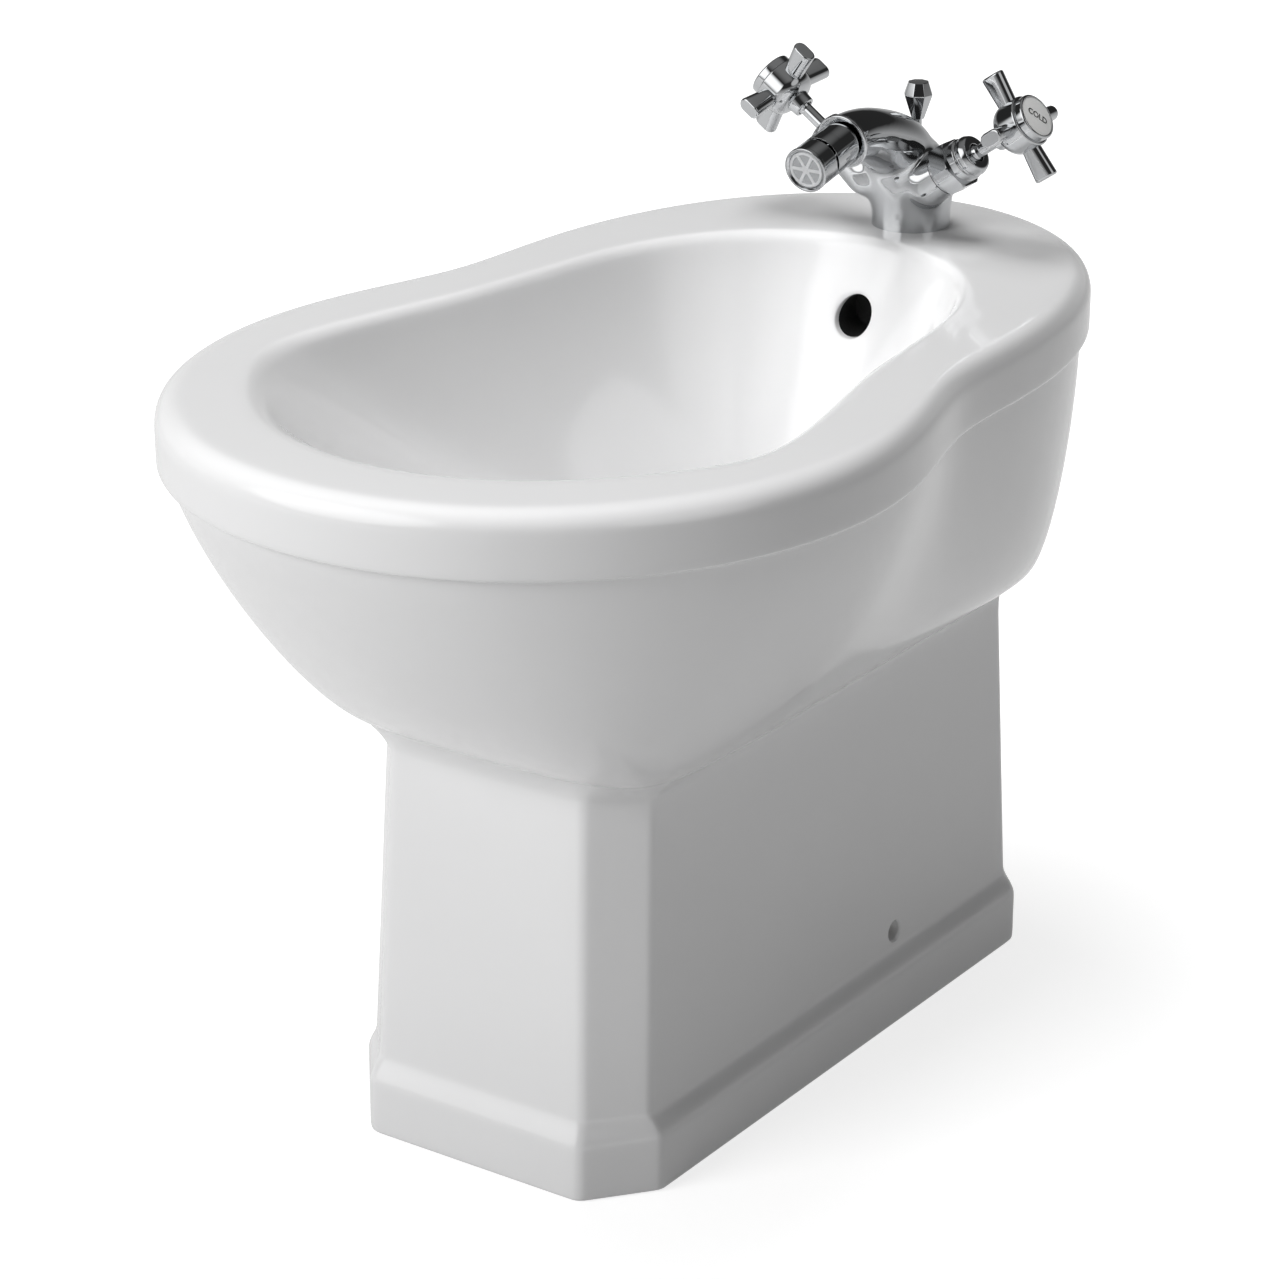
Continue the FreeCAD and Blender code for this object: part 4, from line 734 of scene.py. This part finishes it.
# Valves and cross handles: a hexagon bonnet screws into each arm over rubber and ceramic discs, and
# its spindle carries a domed hub with four blades. A bezel on the hub frames an enamel disc that
# hides the handle's screw and carries a plain word. All the metal is chromed brass.
enamel = finish_of("white_enamel", (0.87, 0.87, 0.86), (0.92, 0.92, 0.91), 0.12, 0.2, 50, 700, 0.000004)
disc_ceramic = finish_of("polished_ceramic", (0.80, 0.79, 0.77), (0.88, 0.87, 0.85), 0.06, 0.14, 60, 800,
                         0.000003)
ink = finish_of("black_ink", (0.006, 0.006, 0.006), (0.014, 0.014, 0.014), 0.35, 0.5, 200, 900, 0.000002)
seat_ring, hex_low, hex_high, hex_corner, hex_chamfer, bonnet_top = 12.6, 36.2, 46.5, 15, 1.1, 59
spindle_radius, spindle_waist, spindle_low, spindle_high, waist_slope = 4.6, 3.5, 22, 90, 1
bonnet_bore, joint_lap = spindle_radius + 0.6, 0.5
boss_low, dome_low, dome_high, dome_root, hub_floor, hub_top = 74, 80, 87.5, 6.9, 92, 98
hub_radius, hub_seat, hub_bore = 14.3, 10.4, spindle_radius + 0.05
blade_middle, blade_root, blade_tip, blade_thick, tip_round = 90, 9, 31, 8.2, 1.2
blade_deep_root, blade_deep_tip = 10.4, 13.4
bezel_radius, bezel_top, bezel_plug, bezel_bore, bezel_low = 12.8, 103, 10.3, 6, 95
disc_radius, disc_low, disc_top, disc_gap = 11.3, 101.8, 103, 0.1
# Each profile along a valve's axis: radius, height and round.
COLLAR = [(bonnet_bore, hex_high - joint_lap, 0), (11.8, hex_high - joint_lap, 0), (11.8, 51.6, 0.4),
          (10.7, 52.2, 0.2), (10.7, 53.2, 0.2), (11.3, 53.8, 0.3), (11.3, 55.8, 0.6), (9.8, bonnet_top, 1.2),
          (bonnet_bore, bonnet_top, 0.3)]
SEAT = [(bonnet_bore, arm_reach, 0), (seat_ring, arm_reach, 0.4), (seat_ring, hex_low, 0.5),
        (hex_corner - 2, hex_low + joint_lap, 0), (bonnet_bore, hex_low + joint_lap, 0)]
SPINDLE = [(0, spindle_low, 0), (spindle_radius, spindle_low, 0.5),
           (spindle_radius, bonnet_top - waist_slope, 0.8), (spindle_waist, bonnet_top + waist_slope, 0.8),
           (spindle_waist, boss_low - waist_slope, 0.8), (spindle_radius, boss_low + waist_slope, 0.8),
           (spindle_radius, spindle_high, 0.5), (0, spindle_high, 0)]
HUB = [(hub_bore, boss_low, 0), (6.2, boss_low, 0.6), (6.5, 78, 0), (dome_root, 79.4, 0)]
HUB += [(dome_root + (hub_radius - dome_root) * math.sin(turn),
         dome_low + (dome_high - dome_low) * (1 - math.cos(turn)), 0) for turn in turns(0, math.pi / 2, 14)]
HUB += [(hub_radius, hub_top, 1), (hub_seat, hub_top, 0.3), (hub_seat, hub_floor, 0),
        (hub_bore, hub_floor, 0)]
BEZEL = [(bezel_bore, bezel_low, 0), (bezel_plug, bezel_low, 0.3), (bezel_plug, hub_top, 0),
         (bezel_radius, hub_top, 0.4), (bezel_radius, bezel_top, 1.2),
         (disc_radius + disc_gap, bezel_top, 0.3), (disc_radius + disc_gap, disc_low, 0),
         (bezel_bore, disc_low, 0)]
DISC = [(0, disc_low, 0), (disc_radius, disc_low, 0), (disc_radius, disc_top - 0.35, 0.2),
        (8, disc_top - 0.1, 0), (4, disc_top - 0.02, 0), (0, disc_top, 0)]
word_size, word_turn, word_proud, word_bold = 5.2, 45, 0.06, 0.07


def stadium(deep, thick, radius, place, inset=0.0, count=8):
    """The outline of a blade's section, square to its length, this far out from the hub's axis."""
    half, end = (deep - thick) / 2, thick / 2 - inset
    outline = []
    for side in (1, -1):
        for turn in turns(-math.pi / 2, math.pi / 2, count):
            outline.append(place @ Vector((radius, side * end * math.sin(turn),
                                           side * (half + end * math.cos(turn)))))
    return outline


def cross_blades(place):
    """Four blades round the hub, each growing deeper towards its rounded end."""
    bm = bmesh.new()
    for quarter in range(4):
        spot = place @ at((0, 0, blade_middle), quarter * 90, "Z")
        rings = []
        for share in turns(0, 1, 6):
            deep = blade_deep_root + (blade_deep_tip - blade_deep_root) * share
            radius = blade_root + (blade_tip - tip_round - blade_root) * share
            rings.append(stadium(deep, blade_thick, radius, spot))
        for turn in turns(0, math.pi / 2, 4)[1:]:
            radius = blade_tip - tip_round * (1 - math.sin(turn))
            inset = tip_round * (1 - math.cos(turn))
            rings.append(stadium(blade_deep_tip, blade_thick, radius, spot, inset))
        lofted(bm, rings)
    tidy(bm)
    return bm


for side, name, word, spin in ((-1, "hot", "HOT", -14), (1, "cold", "COLD", 0)):
    place = valve_place(side, spin)
    handle = name + "_handle"
    bonnet, lathe = hexagon_piece(hex_corner, hex_low, hex_high, hex_chamfer, spindle_radius + 0.4,
                                  name + "_hex_bonnet", "chrome", chrome, place, (name + "_bonnet",))
    joins = [cutter_of(lathed(profile, place), bonnet, "UNION") for profile in (COLLAR, SEAT)]
    settle(bonnet, lathe, *joins, crease=28)
    turned_piece(SPINDLE, name + "_stem", handle, "chrome", chrome, place, (name + "_spindle",), 64)
    turned_piece(HUB, name + "_domed_hub", handle, "chrome", chrome, place, (name + "_hub",))
    true_faces(make_piece(cross_blades(place), name + "_blades", handle, "chrome", chrome,
                          replaces=(name + "_arms",)))
    turned_piece(BEZEL, name + "_rim_bezel", handle, "chrome", chrome, place, (name + "_bezel",))
    turned_piece(DISC, name + "_enamel_disc", handle, "enamel", enamel, place, (name + "_index",))
    letters = bpy.data.curves.new(name + "_word", "FONT")
    letters.body = word
    letters.align_x, letters.align_y = "CENTER", "CENTER"
    letters.size = word_size
    letters.extrude = word_proud
    letters.offset = word_bold
    sketch = put(name + "_word_sketch", letters)
    word_mesh = bmesh.new()
    made = sketch.evaluated_get(bpy.context.evaluated_depsgraph_get())
    word_mesh.from_mesh(bpy.data.meshes.new_from_object(made))
    bpy.data.objects.remove(sketch)
    bmesh.ops.transform(word_mesh, verts=word_mesh.verts,
                        matrix=place @ at((0, 0, disc_top), word_turn, "Z"))
    tidy(word_mesh)
    make_piece(word_mesh, name + "_word", handle, "enamel", ink, crease=30)

# Pop-up lift: a faceted chromed knob on a thin rod that runs down through the tap to a clamp.
# The clamp's screw grips the rod, and the lever's long end passes through the clamp's lower hole.
knob_sides, knob_foot, knob_girdle, knob_top, knob_cone, knob_turn = 8, 3.6, 8.2, 5.8, 13.4, 11
rod_low, rod_high = (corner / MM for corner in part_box("lift_rod"))
knob = bmesh.new()
spot = at((0, rod_back, knob_low.z), knob_turn, "Z")
knob_rows = ((knob_foot, 0), (knob_girdle, knob_cone), (knob_top, knob_high.z - knob_low.z))
lofted(knob, [hoop(radius, spot @ at((0, 0, height)), knob_sides) for radius, height in knob_rows])
tidy(knob)
bmesh.ops.bevel(knob, geom=knob.edges[:], offset=0.3, affect="EDGES", segments=2, profile=0.5, material=-1)
true_faces(make_piece(knob, "faceted_knob", "lift", "chrome", chrome, replaces=("lift_knob",), crease=60))
turned_piece(tube(0, rod_radius, rod_low.z, rod_high.z, 0.6), "pop_up_rod", "lift", "chrome", chrome,
             rod_place, ("lift_rod",), 32)
clamp_low, clamp_high = (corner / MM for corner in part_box("rod_clamp"))
screw_low, screw_high = (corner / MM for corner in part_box("clamp_screw"))
clamp = block(clamp_high - clamp_low, 0.8, at((clamp_high + clamp_low) / 2), 3)
clamp_piece = make_piece(clamp, "rod_clamp_block", "lift", "steel", zinc, replaces=("rod_clamp",), crease=30)
lever_hole_rise, lever_hole, hole_past, rod_fit = 8, 4.4, 30, 0.05
lever_way = at((0, rod_back, clamp_low.z + lever_hole_rise), 90)
clamp_cuts = [bar(rod_radius + rod_fit, rod_low.z, clamp_high.z + 5, rod_place, 32),
              bar(lever_hole, -hole_past, hole_past, lever_way, 48)]
settle(clamp_piece, *[cutter_of(bm, clamp_piece) for bm in clamp_cuts], crease=30)
true_faces(clamp_piece)
screw_radius, head_low, head_radius, slot_radius, slot_deep = 2.4, 6.5, 5, 2, 2
screw_place = at((0, rod_back, (screw_low.z + screw_high.z) / 2), 90, "Y")
turned_piece([(0, screw_low.x, 0), (screw_radius, screw_low.x, 0.3), (screw_radius, head_low, 0),
              (head_radius, head_low, 0.4), (head_radius, screw_high.x, 0.9),
              (slot_radius, screw_high.x, 0.2), (slot_radius, screw_high.x - slot_deep, 0),
              (0, screw_high.x - slot_deep, 0)],
             "thumb_screw", "lift", "steel", zinc, screw_place, ("clamp_screw",), 48)

# Pop-up waste: a chromed flange sealed on the bowl's floor screws into the body under it. The lever
# pivots on a plastic ball in the body's side port, and its inner end lifts the plug by its eye.
waste_place = at((0, waste_back, 0))
lever_low, lever_high = (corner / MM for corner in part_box("pivot_lever"))
plug_low, plug_high = (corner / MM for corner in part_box("plug"))
waste_bore, flange_neck, flange_radius, plug_seat = 17, 19.5, 31.5, 21.6
flange_rest, seat_floor = 257.2, 257.8
turned_piece([(waste_bore, flange_low.z, 0), (flange_neck, flange_low.z, 0.5), (flange_neck, flange_rest, 0),
              (flange_radius, flange_rest, 0.3), (flange_radius, flange_high.z, 1.6),
              (plug_seat, flange_high.z, 0.8), (plug_seat, seat_floor, 0.3), (waste_bore, seat_floor, 0.5)],
             "waste_flange_ring", "pan", "chrome", chrome, waste_place, ("waste_flange",))
washer_bore, washer_radius, washer_low = 19.6, 29, 224
turned_piece(tube(washer_bore, washer_radius, washer_low, floor_under, 0.8, 0.8),
             "waste_washer", "pan", "rubber", rubber, waste_place, ("under_washer",))
tail_radius, tail_low, tail_high, barrel_radius, thread_floor = 20.95, 148, 178, 24, 211
collar_low, collar_edge = 218, 220
body = lathed([(waste_bore, tail_low, 0), (tail_radius, tail_low, 0.8), (tail_radius, tail_high, 0),
               (barrel_radius, tail_high, 0.8), (barrel_radius, collar_low, 0.6),
               (washer_radius, collar_edge, 0.5), (washer_radius, washer_low, 0.6),
               (washer_bore, washer_low, 0), (washer_bore, thread_floor, 0), (waste_bore, thread_floor, 0)],
              waste_place)
body_piece = make_piece(body, "waste_barrel", "pan", "chrome", chrome, replaces=("waste_body",))
port_low, port_high, lever_height, port_past = 20.5, 34.5, 202, 2
port_radius, port_bore, ball_bore, ball_floor = 10.5, 5.2, 6.8, 24
port_place = at((0, waste_back, lever_height), -90)
settle(body_piece, cutter_of(bar(port_radius, port_low, port_high, port_place), body_piece, "UNION"),
       cutter_of(bar(port_bore, 0, port_high + port_past, port_place), body_piece),
       cutter_of(bar(ball_bore, ball_floor, port_high + port_past, port_place), body_piece), crease=34)
true_faces(body_piece)
cap_bore, cap_radius, cap_hole, cap_low, cap_floor, cap_high = 10.55, 13.5, 5.1, 26.5, 35.2, 37.5
turned_piece([(cap_bore, cap_low, 0), (cap_radius, cap_low, 0.5), (cap_radius, cap_high, 1.0),
              (cap_hole, cap_high, 0.4), (cap_hole, cap_floor, 0), (cap_bore, cap_floor, 0)],
             "port_cap_nut", "pan", "chrome", chrome, port_place, ("ball_nut",))
lever_radius, lever_spare = 3, 0.3
lever_tilt = math.atan2(lever_high.z - lever_low.z - lever_radius * 2, lever_high.y - lever_low.y)
lever_middle = (lever_low + lever_high) / 2
lever_half = (lever_high.y - lever_low.y) / 2 / math.cos(lever_tilt) - lever_spare
turned_piece(tube(0, lever_radius, -lever_half, lever_half, 0.8, 0.8), "rocking_lever", "lever", "steel",
             zinc, at(lever_middle, -90 - math.degrees(lever_tilt)), ("pivot_lever",), 32)
plug_stem, stem_low, cap_under, cap_edge, cap_wide = 3.2, 211.5, 266.6, 268.3, 21
eye_radius, eye_hole, eye_half, eye_past = 7.5, 4.3, 2.5, 5
fin_size, fin_height, fin_round = (32.8, 2, 8), 246.6, 0.5
plug_cap = lathed([(0, stem_low, 0), (plug_stem, stem_low, 0), (plug_stem, cap_under, 0),
                   (cap_wide, cap_under, 0.4), (cap_wide, cap_edge, 1.2), (14, cap_edge + 1, 0),
                   (6, plug_high.z - 0.05, 0), (0, plug_high.z, 0)], waste_place)
plug_piece = make_piece(plug_cap, "pop_up_plug", "pop_up_plug", "chrome", chrome, replaces=("plug",))
eye_place = at((0, waste_back, plug_low.z + eye_radius), 90)
plug_parts = [bar(eye_radius, -eye_half, eye_half, eye_place)]
for turn in (0, 90):
    plug_parts.append(block(fin_size, fin_round, at((0, waste_back, fin_height), turn, "Z")))
plug_cutters = [cutter_of(bm, plug_piece, "UNION") for bm in plug_parts]
plug_cutters.append(cutter_of(bar(eye_hole, -eye_past, eye_past, eye_place), plug_piece))
settle(plug_piece, *plug_cutters, crease=34)
true_faces(plug_piece)

# Small pieces that keep their CAD shape: seals, valve discs, screws and the clamp's plates, each in
# the finish of its own material.
plain_finishes = {"tap_base_seal": rubber, "clamp_rubber": rubber, "clamp_plate": zinc,
                  "nozzle_ball": chrome, "nozzle_seat": white_plastic, "pivot_ball": white_plastic,
                  "ball_gasket": white_plastic, "flange_seal": rubber, "plug_seal": rubber}
for name in ("hot", "cold"):
    plain_finishes.update({name + "_seat_seal": rubber, name + "_fixed_disc": disc_ceramic,
                           name + "_moving_disc": disc_ceramic, name + "_screw": zinc})
for node, finish in plain_finishes.items():
    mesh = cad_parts[node].data
    mesh.materials.clear()
    mesh.materials.append(finish)

# Floor, light and camera: a plain pale floor under soft light from the front left, on white.
# The camera stands where the photograph was taken from, a little above the rim on the right.
camera_place, camera_turn, camera_tilt = (1.1116, -1.6272, 1.0137), 34.75, 21.66
camera_lens, sensor_width = 115.05, 36
camera = put("camera", bpy.data.cameras.new("camera"))
camera.location = camera_place
camera.rotation_euler = (math.radians(90 - camera_tilt), 0, math.radians(camera_turn))
camera.data.lens = camera_lens
camera.data.sensor_width = sensor_width
bpy.context.scene.camera = camera


def soft_light(name, place, target, size, power):
    lamp = bpy.data.lights.new(name, "AREA")
    lamp.shape = "SQUARE"
    lamp.size = size
    lamp.energy = power
    light = put(name, lamp)
    light.location = place
    light.rotation_euler = (Vector(target) - Vector(place)).to_track_quat("-Z", "Y").to_euler()
    light.visible_glossy = False


soft_light("front_left_light", (-1.7, -4.05, 2.6), (0, 0, 0.25), 2.6, 156)
soft_light("top_light", (-0.4, 0, 2.8), (0, 0, 0.3), 1.6, 54)

floor_mesh = bmesh.new()
bmesh.ops.create_grid(floor_mesh, x_segments=1, y_segments=1, size=30)
floor_data = bpy.data.meshes.new("floor")
floor_mesh.to_mesh(floor_data)
floor_mesh.free()
floor = put("floor", floor_data)
paper = bpy.data.materials.new("pale_floor")
paper.use_nodes = True
nodes, links = paper.node_tree.nodes, paper.node_tree.links
shader, output = nodes["Principled BSDF"], nodes["Material Output"]
floor_tone, mirrored_share, lent_share = 0.45, 0.4, 0.22
dial(shader, Base_Color=(floor_tone, floor_tone, floor_tone, 1), Roughness=0.9, Specular_IOR_Level=0)
white, add, rays = (nodes.new("ShaderNode" + kind) for kind in ("Emission", "AddShader", "LightPath"))
mirror, seen, seen_most, lent = (nodes.new("ShaderNodeMath") for _ in range(4))
mirror.operation = "MULTIPLY"
mirror.inputs[1].default_value = mirrored_share
seen.operation = seen_most.operation = lent.operation = "MAXIMUM"
lent.inputs[1].default_value = lent_share
place, span, glow, level = (nodes.new("ShaderNode" + kind)
                            for kind in ("TexCoord", "VectorMath", "MapRange", "Math"))
span.operation = "LENGTH"
level.operation = "MULTIPLY"
dial(glow, From_Min=0.25, From_Max=0.9, To_Min=0.76, To_Max=1.0)
wire(links, (rays, "Is Glossy Ray", mirror, 0), (rays, "Is Camera Ray", seen, 0), (mirror, 0, seen, 1),
     (seen, 0, seen_most, 0), (rays, "Is Transmission Ray", seen_most, 1), (place, "Object", span, 0),
     (span, "Value", glow, "Value"), (glow, "Result", level, 0), (seen_most, 0, lent, 0),
     (lent, 0, level, 1), (level, 0, white, "Strength"), (shader, 0, add, 0), (white, 0, add, 1),
     (add, 0, output, "Surface"))
floor_data.materials.append(paper)

# The room that the chrome and the glaze mirror: pale low down and dark above, with three soft white panels.
# Each panel has a direction, the cosines where it begins and is full, and its strength.
SOFT_PANELS = [((-0.42, -0.78, 0.46), 0.84, 0.93, 1.8), ((0.86, -0.1, 0.5), 0.92, 0.97, 0.7),
               ((0, 0, 1), 0.6, 0.92, 0.24)]
world = bpy.data.worlds.new("studio")
bpy.context.scene.world = world
world.use_nodes = True
nodes, links = world.node_tree.nodes, world.node_tree.links
room = nodes["Background"]
rays, direction, height = (nodes.new("ShaderNode" + kind)
                           for kind in ("LightPath", "TexCoord", "SeparateXYZ"))
ceiling, tone, strength, shown = (nodes.new("ShaderNode" + kind)
                                  for kind in ("MapRange", "Mix", "Mix", "Math"))
dial(ceiling, From_Min=0.02, From_Max=0.3, To_Min=0.5, To_Max=0.03)
wire(links, (direction, "Generated", height, 0), (height, "Z", ceiling, "Value"))
mirrored = ceiling
for toward, edge, core, power in SOFT_PANELS:
    facing, panel, brighter = (nodes.new("ShaderNode" + kind) for kind in ("VectorMath", "MapRange", "Math"))
    facing.operation = "DOT_PRODUCT"
    facing.inputs[1].default_value = Vector(toward).normalized()
    panel.interpolation_type = "SMOOTHSTEP"
    brighter.operation = "MAXIMUM"
    dial(panel, From_Min=edge, From_Max=core, To_Max=power)
    wire(links, (direction, "Generated", facing, 0), (facing, "Value", panel, "Value"),
         (mirrored, 0, brighter, 0), (panel, "Result", brighter, 1))
    mirrored = brighter
shown.operation = "MAXIMUM"
world_fill = 0.12
dial(tone, A=world_fill)
dial(strength, B=1)
dial(room, Color=(1, 1, 1, 1))
wire(links, (rays, "Is Glossy Ray", shown, 0), (rays, "Is Transmission Ray", shown, 1),
     (shown, 0, tone, "Factor"), (mirrored, 0, tone, "B"), (rays, "Is Camera Ray", strength, "Factor"),
     (tone, "Result", strength, "A"), (strength, "Result", room, "Strength"))
bpy.context.scene.view_settings.view_transform = "Standard"
